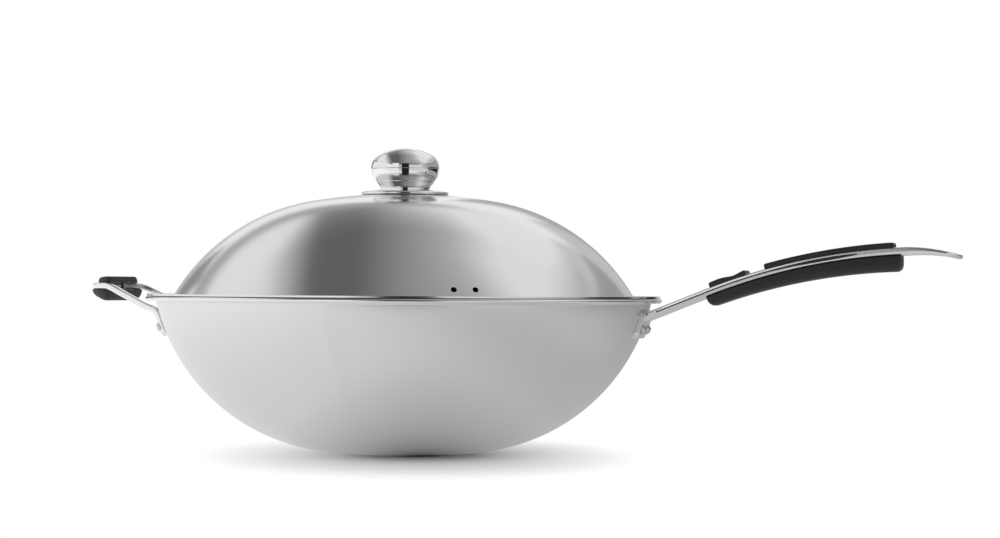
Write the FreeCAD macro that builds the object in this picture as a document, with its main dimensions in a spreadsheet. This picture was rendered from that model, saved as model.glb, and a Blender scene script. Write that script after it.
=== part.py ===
"""A covered wok: a steel bowl with a long handle and a helper handle, and a lift-off domed lid.

Millimetres. The origin is the middle of the bowl's flat foot, +Z is up and the long handle runs along +X.
"""
import FreeCAD, Part
import math
import os
import re
import Sketcher

doc = FreeCAD.newDocument("CoveredWok")
sizes = doc.addObject("Spreadsheet::Sheet", "Sizes")
rules = doc.addObject("Spreadsheet::Sheet", "Rules")
sheet_of = {}
kept = []

CCW = 1
CW = -1
ALIGNED = math.cos(math.radians(1))
SIDES = (("far", ""), ("near", "-"))
GRIP_SCREWS = {"thumb": "thumb_height - thumb_dip", "near": "upper_height", "far": "upper_height"}


# ---------------------------------------------------------------------------------------------
# Sheets and expressions
# ---------------------------------------------------------------------------------------------

def full(text):
    """The expression with each size's name led by the sheet that holds it."""
    def lead(word):
        name = word.group()
        return f"{sheet_of[name]}.{name}" if name in sheet_of else name
    return re.sub(r"[a-z][a-z_]*", lead, text)


def write_cell(sheet, name, text, note):
    """One row of a sheet: what the value is, and the value under its alias."""
    row = 1 + list(sheet_of.values()).count(sheet.Name)
    sheet.set(f"A{row}", note)
    sheet.set(f"B{row}", text)
    sheet.setAlias(f"B{row}", name)
    sheet_of[name] = sheet.Name


def rule(name, formula, note):
    """A dimension worked out from the driving ones."""
    write_cell(rules, name, "=" + full(formula).replace("Rules.", ""), note)


def value(text):
    """The number that an expression gives now."""
    return float(rules.evalExpression(full(text)))


# ---------------------------------------------------------------------------------------------
# Driving dimensions, in millimetres or degrees
# ---------------------------------------------------------------------------------------------

SIZES = {
    "joint_gap": 0.05,  # play between pieces that are fitted face to face
    "lid_gap": 0.3,  # running gap between the lid and the bowl

    "base_radius": 41.0,  # flat foot of the bowl
    "side_radius": 172.9,  # outside of the wall, just under the rim
    "bowl_height": 108.6,  # floor to the top of the rim
    "wall": 2.2,  # bowl wall
    "rim_reach": 7.7,  # rim beyond the wall
    "lip_drop": 1.0,  # rim's edge bead below the rim sheet
    "flare_round": 2.5,  # round between the wall and the underside of the rim
    "mouth_round": 2.5,  # round between the rim and the inside of the wall

    "lid_sheet": 1.2,  # lid sheet
    "lid_setback": 1.0,  # lid edge inside the rim's edge
    "bead_depth": 3.0,  # locating bead below the lid's flange
    "bead_width": 3.0,  # flat bottom of the locating bead
    "bead_slant": 1.5,  # run of each side of the locating bead
    "bead_shelf": 5.2,  # flat between the dome's foot and the bead
    "bead_play": 0.8,  # bead's side inside the bowl's mouth
    "crown_arc": 386.8,  # dome radius about the middle
    "crown_angle": 9.7,  # half angle of the crown
    "foot_angle": 59.3,  # dome slope where it meets the flange
    "vent_radius": 2.0,  # steam vent
    "vent_height": 4.6,  # steam vents above the flange
    "vent_azimuth": -59.4,  # middle of the two steam vents, about the axis
    "vent_spread": 5.9,  # angle between the two steam vents

    "screw_radius": 2.5,  # knob screw shank
    "screw_head_radius": 4.6,  # knob screw head
    "screw_head_height": 3.0,  # knob screw head
    "screw_reach": 11.0,  # knob screw above the knob's foot
    "washer_radius": 7.0,  # flat washer
    "washer_height": 1.0,  # flat washer
    "spring_radius": 4.4,  # lock washer
    "spring_height": 1.1,  # lock washer
    "split_width": 0.6,  # split of the lock washer
    "gasket_radius": 8.5,  # gasket under the lid
    "gasket_height": 1.5,  # gasket under the lid

    "rosette_radius": 30.6,  # edge of the rosette
    "rosette_edge": 0.9,  # rosette edge thickness
    "rosette_rise": 4.2,  # rosette top above the top of the dome
    "neck_radius": 17.0,  # foot of the knob
    "neck_step": 1.6,  # plain foot ring of the knob
    "knob_radius": 24.0,  # widest ring of the knob
    "cup_height": 14.4,  # foot of the knob to its seam
    "cup_arc": 35.0,  # bulge of the cup's side
    "seam_height": 0.9,  # band where the cap is rolled over the cup
    "cap_height": 12.6,  # seam to the top of the knob
    "cap_crown_angle": 30.0,  # half angle of the cap's crown
    "knob_sheet": 0.8,  # cap and cup sheet
    "insert_radius": 5.0,  # threaded insert
    "insert_height": 13.0,  # threaded insert

    "bar_height": 5.6,  # long handle bar, seen from the side
    "tip_height": 2.6,  # bar at its tip
    "rail_width": 5.2,  # each rail, seen from above
    "slot_width": 13.6,  # space between the rails
    "bar_round": 1.1,  # edges of the bars
    "root_offset": 4.1,  # long handle's middle line at the bracket, beyond the side radius
    "root_drop": 11.2,  # long handle's middle line at the bracket, below the rim
    "handle_slope": 22.5,  # rise of the straight part
    "neck_length": 39.0,  # straight part, along X
    "grip_arc": 372.0,  # bend of the gripped part
    "grip_length": 136.0,  # gripped part, along X
    "tip_arc": 170.0,  # bend of the tip
    "tip_length": 36.0,  # tip beyond the gripped part, along X
    "bridge_length": 9.0,  # solid steel between the slot's end and the tip

    "thumb_head": 2.5,  # thumb pad beyond the straight part
    "thumb_length": 26.5,  # thumb pad, along X
    "thumb_height": 3.4,  # thumb pad on the bar
    "thumb_dip": 0.8,  # hollow of the thumb pad
    "pads_gap": 11.5,  # bare bar between the thumb pad and the upper grip
    "upper_tail": 9.5,  # end of the upper grip short of the gripped part's end
    "upper_height": 3.5,  # upper grip on the bar
    "lower_head": 1.5,  # lower grip beyond the straight part
    "lower_tail": 4.8,  # end of the lower grip short of the gripped part's end
    "lower_front_depth": 7.2,  # lower grip under the bar, near end
    "lower_rear_depth": 10.8,  # lower grip under the bar, far end
    "grip_overhang": 0.4,  # grips wider than the bar, each side
    "pad_round": 1.5,  # edges of the upper pads
    "lower_round": 6.0,  # bottom edges of the lower grip
    "tongue_inset": 8.5,  # near end of the lower grip's tongue inside the grip's end
    "tongue_play": 0.3,  # lower grip's tongue between the rails
    "inlay_head": 40.0,  # rail inlay beyond the straight part
    "inlay_length": 58.0,  # rail inlay, along X
    "inlay_low": -0.5,  # rail inlay's lower edge, from the bar's middle line
    "inlay_cover": 0.2,  # flat steel left between the rail inlay and the rail's rounded edge
    "inlay_depth": 0.8,  # rail inlay into the rail
    "inlay_inset": 1.0,  # inlay strip inside its seat's pointed ends
    "drive_reach": 0.55,  # cross drive's arms, as a share of the screw head's radius
    "drive_half": 0.3,  # cross drive's half width, as a share of the shank's radius
    "drive_depth": 0.5,  # cross drive's depth, as a share of the screw head's height
    "grip_screw_radius": 1.9,  # grip screw shank
    "grip_head_radius": 3.4,  # grip screw head
    "grip_head_height": 2.2,  # grip screw head
    "grip_seat_depth": 3.6,  # plastic between the bar's underside and the screw head
    "grip_tip_cover": 1.0,  # plastic beyond a grip screw's hole
    "tip_play": 0.3,  # screw tip short of the end of its hole
    "thumb_screw_inset": 14.5,  # screw of the thumb pad, from the pad's near end
    "near_screw_inset": 18.5,  # near screw of the upper grip, from its near end
    "far_screw_inset": 14.5,  # far screw of the upper grip, from its far end

    "plate_thickness": 3.6,  # bracket and tabs on the wall
    "bracket_width": 32.0,  # bracket on the wall
    "bracket_rise": 3.2,  # top of the bracket above the long handle's middle line
    "bracket_margin": 7.2,  # bracket below its rivets
    "bracket_round": 4.5,  # corners of the bracket
    "bracket_rivet_drop": 8.8,  # bracket rivets below the long handle's middle line
    "bracket_rivet_spread": 17.0,  # between the bracket rivets

    "rivet_radius": 2.4,  # rivet shank
    "rivet_head_radius": 3.6,  # outer rivet head
    "rivet_head_height": 2.6,  # outer rivet head
    "rivet_disc_radius": 5.0,  # inner rivet head
    "rivet_disc_height": 1.2,  # inner rivet head
    "rivet_seat": 0.15,  # inner rivet head off the hollow wall

    "helper_rise": 6.7,  # helper loop's middle above the rim
    "helper_stretch": 56.6,  # helper loop's outer edge beyond the side radius
    "helper_arc": 38.0,  # helper loop's outer radius
    "helper_bar": 4.3,  # helper loop, seen from the side
    "helper_width": 5.0,  # helper loop, seen from above
    "helper_bend_inset": 22.5,  # bend between the loop and its legs, from the loop's outer edge
    "helper_slope": 24.0,  # fall of the legs
    "helper_bend_round": 10.0,  # bend between the loop and its legs
    "helper_spread": 76.0,  # between the middles of the tabs
    "tab_width": 10.0,  # tab on the wall
    "helper_rivet_drop": 12.0,  # helper rivets below the tops of the tabs
    "tab_margin": 6.5,  # tabs below their rivets
    "tab_round": 3.5,  # corners of the tabs

    "pad_depth": 20.0,  # helper pads, from the loop's outer edge to their straight side
    "upper_pad_setback": 1.6,  # upper pad inside the loop's outer edge
    "upper_pad_height": 4.6,  # upper pad on the loop
    "lower_pad_overhang": 1.4,  # lower pad beyond the loop's outer edge
    "lower_pad_height": 7.6,  # lower pad under the loop
    "lower_pad_round": 5.5,  # bottom edge of the lower pad
    "upper_pad_round": 2.6,  # top edge of the upper pad
    "pad_corner_round": 4.0,  # upright corners of the helper pads
    "plug_play": 0.4,  # lower pad's plug inside the loop
    "helper_screw_spread": 30.0,  # between the helper screws
    "helper_screw_inset": 14.5,  # helper screws, from the loop's outer edge
    "helper_seat_depth": 3.0,  # plastic between the loop's underside and the screw head
}
for name, number in SIZES.items():
    write_cell(sizes, name, str(number), name.replace("_", " "))
doc.recompute()


# ---------------------------------------------------------------------------------------------
# Dimensions that follow from them
# ---------------------------------------------------------------------------------------------

rule("flare_height", "bowl_height - wall - flare_round", "where the wall's arc ends")
rule("bowl_arc", "((side_radius - base_radius)^2 + flare_height^2) / (2 * flare_height)",
     "wall arc that leaves the foot level and meets the side radius")
rule("rim_radius", "side_radius + rim_reach", "edge of the rim")
rule("lip_round", "(wall + lip_drop) / 2", "edge bead")
rule("lip_middle", "rim_radius - lip_round", "edge bead's middle, from the axis")
rule("lip_notch", "sqrt(wall * lip_drop)", "where the edge bead meets the rim's underside")
rule("mouth_level", "bowl_height - mouth_round", "where the inside of the wall ends")
rule("mouth_radius", "base_radius + sqrt((bowl_arc - wall)^2 - (bowl_arc - mouth_level)^2)",
     "inside of the wall at the mouth")
doc.recompute()

rule("lid_under", "bowl_height + lid_gap", "underside of the flange")
rule("lid_upper", "lid_under + lid_sheet", "top of the flange")
rule("lid_radius", "rim_radius - lid_setback", "edge of the lid")
rule("bead_outer", "mouth_radius - bead_play", "foot of the bead's outer side")
rule("bead_inner", "bead_outer - bead_width", "foot of the bead's inner side")
rule("sheet_skew", "lid_sheet * (sqrt(bead_depth^2 + bead_slant^2) - bead_slant) / bead_depth",
     "sideways step that keeps the sheet's thickness on the bead's sides")
rule("dome_foot", "bead_inner - bead_slant - bead_shelf", "dome's foot, from the axis")
rule("shoulder_arc", "(dome_foot - crown_arc * sin(crown_angle)) / (sin(foot_angle) - sin(crown_angle))",
     "dome radius between crown and foot")
rule("shoulder_middle", "(crown_arc - shoulder_arc) * sin(crown_angle)",
     "shoulder arc's centre, from the axis")
rule("shoulder_level", "lid_upper - shoulder_arc * cos(foot_angle)", "shoulder arc's centre, above the floor")
rule("crown_level", "shoulder_level - (crown_arc - shoulder_arc) * cos(crown_angle)",
     "crown arc's centre, above the floor")
rule("dome_top", "crown_level + crown_arc", "top of the dome")
rule("screw_bore", "screw_radius + joint_gap", "hole for the knob screw")
rule("vent_angle", "acos((vent_height + lid_upper - shoulder_level) / shoulder_arc)",
     "dome slope at the vents")

rule("rosette_top", "dome_top + rosette_rise", "foot of the knob")
rule("rosette_foot", "crown_level + sqrt((crown_arc + joint_gap)^2 - (rosette_radius - 2 * rosette_edge)^2)",
     "underside of the rosette's edge")
rule("knob_wall", "knob_sheet + joint_gap", "core inside the cap and cup")
rule("seam_level", "rosette_top + joint_gap + cup_height", "seam of the knob")
rule("cup_foot", "rosette_top + joint_gap", "underside of the cup")
rule("cap_foot", "seam_level + seam_height", "where the cap's side begins to close")
rule("cap_mix", "sin(cap_crown_angle) + cos(cap_crown_angle) - 1", "shared divisor of the cap's two arcs")
rule("cap_crown_arc",
     "(knob_radius * cos(cap_crown_angle) - cap_height * (1 - sin(cap_crown_angle))) / cap_mix",
     "cap radius about the middle")
rule("cap_side_arc",
     "(cap_height * sin(cap_crown_angle) - knob_radius * (1 - cos(cap_crown_angle))) / cap_mix",
     "cap radius at its side")
rule("cap_top", "cap_foot + cap_height", "top of the knob")
rule("insert_foot", "cup_foot + knob_sheet + joint_gap", "foot of the threaded insert")

rule("through", "4 * bowl_height", "length of the cuts that go right through")
rule("overrun", "wall / 2", "how far cuts and joined features pass the face they start from")
rule("bar_start", "side_radius - 5 * wall", "where the bars begin, before they are cut to the wall")
rule("plan_start", "side_radius - 10 * wall", "where the plans of the handles begin, from the axis")
rule("rivet_bore", "rivet_radius + joint_gap", "hole for a rivet")
rule("grip_screw_bore", "grip_screw_radius + joint_gap", "hole for a grip screw")
rule("head_recess", "grip_head_radius + tongue_play", "recess for a grip screw's head")

rule("root_reach", "side_radius + root_offset", "long handle's middle line at the bracket, from the axis")
rule("root_level", "bowl_height - root_drop", "long handle's middle line at the bracket, above the floor")
rule("bend_reach", "root_reach + neck_length", "end of the straight part, from the axis")
rule("grip_reach", "bend_reach + grip_length", "end of the gripped part, from the axis")
rule("handle_reach", "grip_reach + tip_length", "tip of the long handle, from the axis")
rule("thumb_start", "bend_reach + thumb_head", "thumb pad's near end, from the axis")
rule("thumb_end", "thumb_start + thumb_length", "thumb pad's far end, from the axis")
rule("upper_start", "thumb_end + pads_gap", "upper grip's near end, from the axis")
rule("upper_end", "grip_reach - upper_tail", "upper grip's far end, from the axis")
rule("lower_start", "bend_reach + lower_head", "lower grip's near end, from the axis")
rule("lower_end", "grip_reach - lower_tail", "lower grip's far end, from the axis")
rule("tongue_start", "lower_start + tongue_inset", "near end of the lower grip's tongue, from the axis")
rule("inlay_start", "bend_reach + inlay_head", "rail inlay's near end, from the axis")
rule("inlay_end", "inlay_start + inlay_length", "rail inlay's far end, from the axis")
rule("thumb_screw_reach", "thumb_start + thumb_screw_inset", "screw of the thumb pad, from the axis")
rule("near_screw_reach", "upper_start + near_screw_inset", "near screw of the upper grip, from the axis")
rule("far_screw_reach", "upper_end - far_screw_inset", "far screw of the upper grip, from the axis")
doc.recompute()

rule("bar_width", "slot_width + 2 * rail_width", "long handle across both rails")
rule("bar_half", "bar_height / 2", "bar's face from its middle line")
rule("tip_half", "tip_height / 2", "bar's face from its middle line at the tip")
rule("inlay_high", "bar_height / 2 - bar_round - inlay_cover",
     "rail inlay's upper edge at its middle, from the bar's middle line")
rule("bend_level", "root_level + (bend_reach - root_reach) * tan(handle_slope)", "end of the straight part")
rule("grip_middle", "bend_reach + grip_arc * sin(handle_slope)", "grip arc's centre, from the axis")
rule("grip_centre", "bend_level - grip_arc * cos(handle_slope)", "grip arc's centre, above the floor")
doc.recompute()

rule("grip_seat_face", "bar_half + joint_gap", "face of a pad on the bar, from the bar's middle line")
rule("strip_start", "inlay_start + inlay_inset", "inlay strip's near end, from the axis")
rule("strip_end", "inlay_end - inlay_inset", "inlay strip's far end, from the axis")
doc.recompute()
HANDLE_REACHES = ("grip_reach", "thumb_start", "thumb_end", "upper_start", "upper_end", "lower_start",
                  "lower_end", "tongue_start", "inlay_start", "inlay_end", "strip_start", "strip_end",
                  "thumb_screw_reach", "near_screw_reach", "far_screw_reach")
for reach in HANDLE_REACHES:
    rule(f"{reach}_angle", f"asin((grip_middle - {reach}) / grip_arc)", f"slope of the bar at {reach}")
doc.recompute()

rule("thumb_half", "(thumb_start_angle - thumb_end_angle) / 2", "half of the turn along the thumb pad")
rule("thumb_top_arc", "grip_arc + grip_seat_face + thumb_height",
     "thumb pad's end corners, from the grip arc's centre")
rule("thumb_sag", "thumb_dip - thumb_top_arc * (1 - cos(thumb_half))",
     "hollow of the thumb pad below its end corners")
doc.recompute()
rule("thumb_arc", "((thumb_top_arc * sin(thumb_half))^2 + thumb_sag^2) / (2 * thumb_sag)",
     "bend of the thumb pad's hollow")
rule("tip_middle", "grip_reach + tip_arc * sin(grip_reach_angle)", "tip arc's centre, from the axis")
rule("tip_centre", "grip_centre + (grip_arc - tip_arc) * cos(grip_reach_angle)",
     "tip arc's centre, above the floor")
rule("tip_angle", "asin((handle_reach + bar_height - tip_middle) / tip_arc)",
     "fall of the bar where its side view ends, past the round tip")
doc.recompute()
rule("tip_turn", "grip_reach_angle + tip_angle", "turn of the bar from the grip to there")
rule("tip_top_drop", "bar_half + tip_arc - (tip_arc + tip_half) * cos(tip_turn)",
     "fall of the tip's top face, square to its start")
rule("tip_under_drop", "tip_arc - bar_half - (tip_arc - tip_half) * cos(tip_turn)",
     "fall of the tip's underside, square to its start")
doc.recompute()
rule("tip_top_arc", "(((tip_arc + tip_half) * sin(tip_turn))^2 + tip_top_drop^2) / (2 * tip_top_drop)",
     "bend of the tip's top face")
rule("tip_under_arc", "(((tip_arc - tip_half) * sin(tip_turn))^2 + tip_under_drop^2) / (2 * tip_under_drop)",
     "bend of the tip's underside")
rule("slot_end", "handle_reach - bridge_length", "end of the slot between the rails, from the axis")
rule("grip_width", "bar_width + 2 * grip_overhang", "grips across")
rule("head_seat", "bar_half + grip_seat_depth", "screw head's seat below the bar's middle line")

rule("bracket_top", "root_level + bracket_rise", "top of the bracket, above the floor")
rule("bracket_rivet_level", "root_level - bracket_rivet_drop", "bracket rivets, above the floor")
rule("bracket_bottom", "bracket_rivet_level - bracket_margin", "bottom of the bracket, above the floor")
rule("helper_level", "bowl_height + helper_rise", "helper loop's middle, above the floor")
rule("helper_reach", "side_radius + helper_stretch", "helper loop's outer edge, from the axis")
rule("helper_bend_reach", "helper_reach - helper_bend_inset", "bend of the helper loop, from the axis")
rule("pad_inner_reach", "helper_reach - pad_depth", "straight side of the helper pads, from the axis")
rule("helper_screw_reach", "helper_reach - helper_screw_inset", "helper screws, from the axis")
rule("tab_top", "helper_level - (helper_bend_reach - side_radius) * tan(helper_slope)",
     "top of the tabs, where the legs meet the wall")
rule("helper_rivet_level", "tab_top - helper_rivet_drop", "helper rivets, above the floor")
rule("tab_bottom", "helper_rivet_level - tab_margin", "bottom of the tabs, above the floor")
doc.recompute()

rule("bracket_tilt", "asin((bowl_arc - bracket_rivet_level) / bowl_arc)", "wall slope at the bracket rivets")
rule("helper_tilt", "asin((bowl_arc - helper_rivet_level) / bowl_arc)", "wall slope at the helper rivets")
rule("bracket_azimuth", "asin(bracket_rivet_spread / 2 / (base_radius + bowl_arc * cos(bracket_tilt)))",
     "bracket rivets about the axis")
rule("helper_azimuth", "180 deg - asin(helper_spread / 2 / (base_radius + bowl_arc * cos(helper_tilt)))",
     "helper rivets about the axis")
rule("bracket_sweep", "2 * asin(bracket_width / 2 / side_radius)", "bracket about the axis")
rule("tab_sweep", "2 * asin(tab_width / 2 / side_radius)", "tab about the axis")

rule("helper_centre", "helper_reach - helper_arc", "helper loop's middle, from the axis")
rule("helper_half", "helper_bar / 2", "loop's face from its middle")
rule("helper_under", "helper_level - helper_half - joint_gap", "top of the lower pad")
rule("helper_over", "helper_level + helper_half + joint_gap", "underside of the upper pad")
rule("helper_seat", "helper_under - helper_seat_depth", "seat of the helper screws' heads, above the floor")
rule("leg_drop", "(helper_bend_reach - bar_start) * tan(helper_slope)", "fall of the legs to their start")
rule("bar_drop", "(root_reach - bar_start) * tan(handle_slope)", "fall of the long handle to its start")
doc.recompute()


# ---------------------------------------------------------------------------------------------
# Sketches and features
# ---------------------------------------------------------------------------------------------

def new_body(name):
    """An empty body whose label is the piece's name."""
    body = doc.addObject("PartDesign::Body", name)
    body.Label = name
    return body


def arc_through(start, end, radius, turn):
    """The sketch arc of a radius from start to end, turning one way."""
    chord = end - start
    middle = start + chord * 0.5
    height = math.sqrt(max(radius ** 2 - (chord.Length / 2) ** 2, 0.0))
    side = FreeCAD.Vector(-chord.y, chord.x, 0).normalize()
    centre = middle + side * (height * turn)
    first, last = (start, end) if turn == CCW else (end, start)
    begin = math.atan2(first.y - centre.y, first.x - centre.x)
    finish = math.atan2(last.y - centre.y, last.x - centre.x)
    if finish < begin:
        finish += 2 * math.pi
    circle = Part.Circle(centre, FreeCAD.Vector(0, 0, 1), radius)
    return Part.ArcOfCircle(circle, begin, finish)


def tie(sketch, kind, name, expression, *ends):
    """A named dimension of the sketch, bound to an expression."""
    index = sketch.addConstraint(Sketcher.Constraint(kind, *ends, value(expression)))
    sketch.renameConstraint(index, name)
    sketch.setExpression(f"Constraints.{name}", full(expression))


def origin_plane(body, role):
    """One of the body's own origin planes."""
    return next(item for item in body.Origin.OriginFeatures if item.Role == role)


def new_sketch(body, name, role, shift="0", turn="0"):
    """A sketch on an origin plane, shifted square to it or turned about its upright."""
    sketch = body.newObject("Sketcher::SketchObject", name)
    sketch.AttachmentSupport = [(origin_plane(body, role), "")]
    sketch.MapMode = "FlatFace"
    place = f"placement(vector(0; 0; {shift}); rotation(vector(0; 1; 0); {turn}))"
    sketch.setExpression("AttachmentOffset", full(place))
    return sketch


def add_loop(sketch, corners):
    """A closed loop of the sketch; a corner is (across, up), or (across, up, radius, turn) before an arc."""
    first = sketch.GeometryCount
    points = [FreeCAD.Vector(value(corner[0]), value(corner[1]), 0) for corner in corners]
    ends = []
    for index, corner in enumerate(corners):
        start = points[index]
        end = points[(index + 1) % len(points)]
        if len(corner) == 2:
            sketch.addGeometry(Part.LineSegment(start, end), False)
            ends.append((1, 2))
        else:
            sketch.addGeometry(arc_through(start, end, value(corner[2]), corner[3]), False)
            ends.append((1, 2) if corner[3] == CCW else (2, 1))
    for index, corner in enumerate(corners):
        edge = first + index
        following = (index + 1) % len(corners)
        begin, finish = ends[index]
        meet = Sketcher.Constraint("Coincident", edge, finish, first + following, ends[following][0])
        sketch.addConstraint(meet)
        tie(sketch, "DistanceX", f"across{edge}", corner[0], -1, 1, edge, begin)
        tie(sketch, "DistanceY", f"up{edge}", corner[1], -1, 1, edge, begin)
        if len(corner) == 4:
            tie(sketch, "Radius", f"radius{edge}", corner[2], edge)


def outline(body, name, role, *loops, shift="0", turn="0"):
    """A sketch that holds one or more closed loops."""
    sketch = new_sketch(body, name, role, shift, turn)
    for corners in loops:
        add_loop(sketch, corners)
    return sketch


def revolve(body, name, sketch, axis="V_Axis", kind="PartDesign::Revolution", sweep=None):
    """A turned feature; with a sweep it reaches half of it to each side of its sketch."""
    feature = body.newObject(kind, name)
    feature.Profile = sketch
    feature.ReferenceAxis = (sketch, [axis])
    feature.Angle = 360
    if sweep:
        feature.Midplane = True
        feature.setExpression("Angle", full(sweep))
    doc.recompute()
    return feature


def turn_ring(name, corners):
    """A body turned about the upright axis from one loop of the side view."""
    body = new_body(name)
    section = outline(body, f"{name}_section", "XZ_Plane", corners)
    revolve(body, f"{name}_turned", section)
    return body


def extrude(body, name, sketch, length, kind="PartDesign::Pad", both=True, back=False):
    """A pad or a pocket of a sketch, the same to both sides unless told otherwise."""
    feature = body.newObject(kind, name)
    feature.Profile = sketch
    if both:
        feature.SideType = "Symmetric"
    feature.Reversed = back
    feature.setExpression("Length", full(length))
    doc.recompute()
    return feature


def cut_through(body, name, sketch):
    """A pocket of a plan sketch that goes right through the body."""
    extrude(body, name, sketch, "through", kind="PartDesign::Pocket")


def drill(body, name, radius, length, placement):
    """A round hole of a radius and a length, from its placement along its own axis."""
    hole = body.newObject("PartDesign::SubtractiveCylinder", name)
    hole.setExpression("Radius", full(radius))
    hole.setExpression("Height", full(length))
    hole.setExpression("Placement", full(placement))
    doc.recompute()
    return hole


def mirror(body, name, feature):
    """The feature again on the other side of the handle plane."""
    copy = body.newObject("PartDesign::Mirrored", name)
    copy.Originals = [feature]
    copy.MirrorPlane = (origin_plane(body, "XZ_Plane"), [""])
    body.Tip = copy
    doc.recompute()
    return copy


def soften(body, name, radius, choose):
    """A fillet on the edges of the body that choose picks."""
    base = body.Tip
    names = [f"Edge{index + 1}" for index, edge in enumerate(base.Shape.Edges) if choose(edge)]
    feature = body.newObject("PartDesign::Fillet", name)
    feature.Base = (base, names)
    feature.setExpression("Radius", full(radius))
    doc.recompute()
    return feature


def keep(piece):
    """Counts a finished piece among those that are written."""
    kept.append(piece)


def group(name, pieces):
    """One node of several separate solids."""
    compound = doc.addObject("Part::Compound", name)
    compound.Label = name
    compound.Links = pieces
    doc.recompute()
    keep(compound)


def edge_middle(edge):
    """The point halfway along an edge."""
    return edge.valueAt((edge.FirstParameter + edge.LastParameter) / 2)


def along(edge, axis):
    """Whether an edge is straight and runs along an axis."""
    return edge.Curve.TypeId == "Part::GeomLine" and abs(edge.tangentAt(edge.FirstParameter) * axis) > ALIGNED


def upright(edge):
    """Whether an edge stands straight up, off the handle plane."""
    return along(edge, FreeCAD.Vector(0, 0, 1)) and edge.BoundBox.YMin * edge.BoundBox.YMax > 0


# ---------------------------------------------------------------------------------------------
# Places that pieces share
# ---------------------------------------------------------------------------------------------

def at(across, along, up):
    """A placement without a turn."""
    return f"placement(vector({across}; {along}; {up}); rotation(vector(0; 0; 1); 0))"


def wall_at(level, out):
    """A point of the side view at a level, out beyond the bowl's wall."""
    return f"base_radius + sqrt((bowl_arc + {out})^2 - (bowl_arc - ({level}))^2)", level


def on_wall(place, sign, out, turn):
    """A placement at a pair of rivets, out beyond the wall; turn 0 lays +X outward, turn 90 lays +Z so."""
    azimuth = f"{sign}{place}_azimuth"
    tilt = f"{place}_tilt"
    reach = f"(base_radius + (bowl_arc + {out}) * cos({tilt}))"
    return (f"placement(vector({reach} * cos({azimuth}); {reach} * sin({azimuth});"
            f" bowl_arc - (bowl_arc + {out}) * sin({tilt}));"
            f" rotation(vector(0; 0; 1); {azimuth}) * rotation(vector(0; 1; 0); {tilt} + {turn} deg))")


def drill_rivets(body, place):
    """The two rivet holes through a plate on the wall, or through the wall itself."""
    for side, sign in SIDES:
        start = on_wall(place, sign, "-2 * wall", 90)
        drill(body, f"{place}_{side}_hole", "rivet_bore", "plate_thickness + 4 * wall", start)


def on_bar(angle, out):
    """A point of the side view where the long handle has a slope, out above its middle line."""
    return (f"grip_middle - (grip_arc + {out}) * sin({angle})",
            f"grip_centre + (grip_arc + {out}) * cos({angle})")


def on_tip(out):
    """A point of the side view past the long handle's round tip, out above its middle line."""
    return (f"tip_middle + (tip_arc + {out}) * sin(tip_angle)",
            f"tip_centre + (tip_arc + {out}) * cos(tip_angle)")


def square_to_bar(angle, out):
    """A placement on the long handle whose +Z leaves the bar upward, square to it."""
    across, up = on_bar(angle, out)
    return f"placement(vector({across}; 0; {up}); rotation(vector(0; 1; 0); -{angle}))"


def bar_band(start, end, low, high):
    """A band along the grip arc between two slopes and two heights above its middle line."""
    return [(*on_bar(start, low), f"grip_arc + {low}", CW), on_bar(end, low),
            (*on_bar(end, high), f"grip_arc + {high}", CCW), on_bar(start, high)]


def above_bar(edge):
    """How far the middle of an edge lies above the middle line of the long handle."""
    middle = edge_middle(edge)
    return math.hypot(middle.x - value("grip_middle"), middle.z - value("grip_centre")) - value("grip_arc")


def wall_band(bottom, top, low, high):
    """A band along the bowl's wall between two levels and two heights off the wall."""
    return [(*wall_at(bottom, low), f"bowl_arc + {low}", CCW), wall_at(top, low),
            (*wall_at(top, high), f"bowl_arc + {high}", CW), wall_at(bottom, high)]


def cut_to_wall(body, name, bottom, top, out):
    """Cuts a handle's bars to the wall, leaving them out beyond it."""
    section = outline(body, f"{name}Section", "XZ_Plane", [
        (*wall_at(bottom, out), f"bowl_arc + {out}", CCW),
        wall_at(top, out),
        ("base_radius", top),
        ("base_radius", bottom),
    ])
    revolve(body, name, section, kind="PartDesign::Groove")


# ---------------------------------------------------------------------------------------------
# Bowl and rivets
# ---------------------------------------------------------------------------------------------

def make_bowl():
    """The pressed bowl, with a flat foot, a flared rim and the rivet holes."""
    body = turn_ring("wok_bowl", [
        ("0", "0"),
        ("base_radius", "0", "bowl_arc", CCW),
        ("side_radius", "flare_height", "flare_round", CW),
        ("side_radius + flare_round", "bowl_height - wall"),
        ("lip_middle - lip_notch", "bowl_height - wall", "lip_round", CCW),
        ("lip_middle", "bowl_height - 2 * lip_round", "lip_round", CCW),
        ("rim_radius", "bowl_height - lip_round", "lip_round", CCW),
        ("lip_middle", "bowl_height"),
        ("mouth_radius + mouth_round", "bowl_height", "mouth_round", CCW),
        ("mouth_radius", "mouth_level", "bowl_arc - wall", CW),
        ("base_radius", "wall"),
        ("0", "wall"),
    ])
    for place in ("bracket", "helper"):
        drill_rivets(body, place)
    keep(body)


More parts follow.
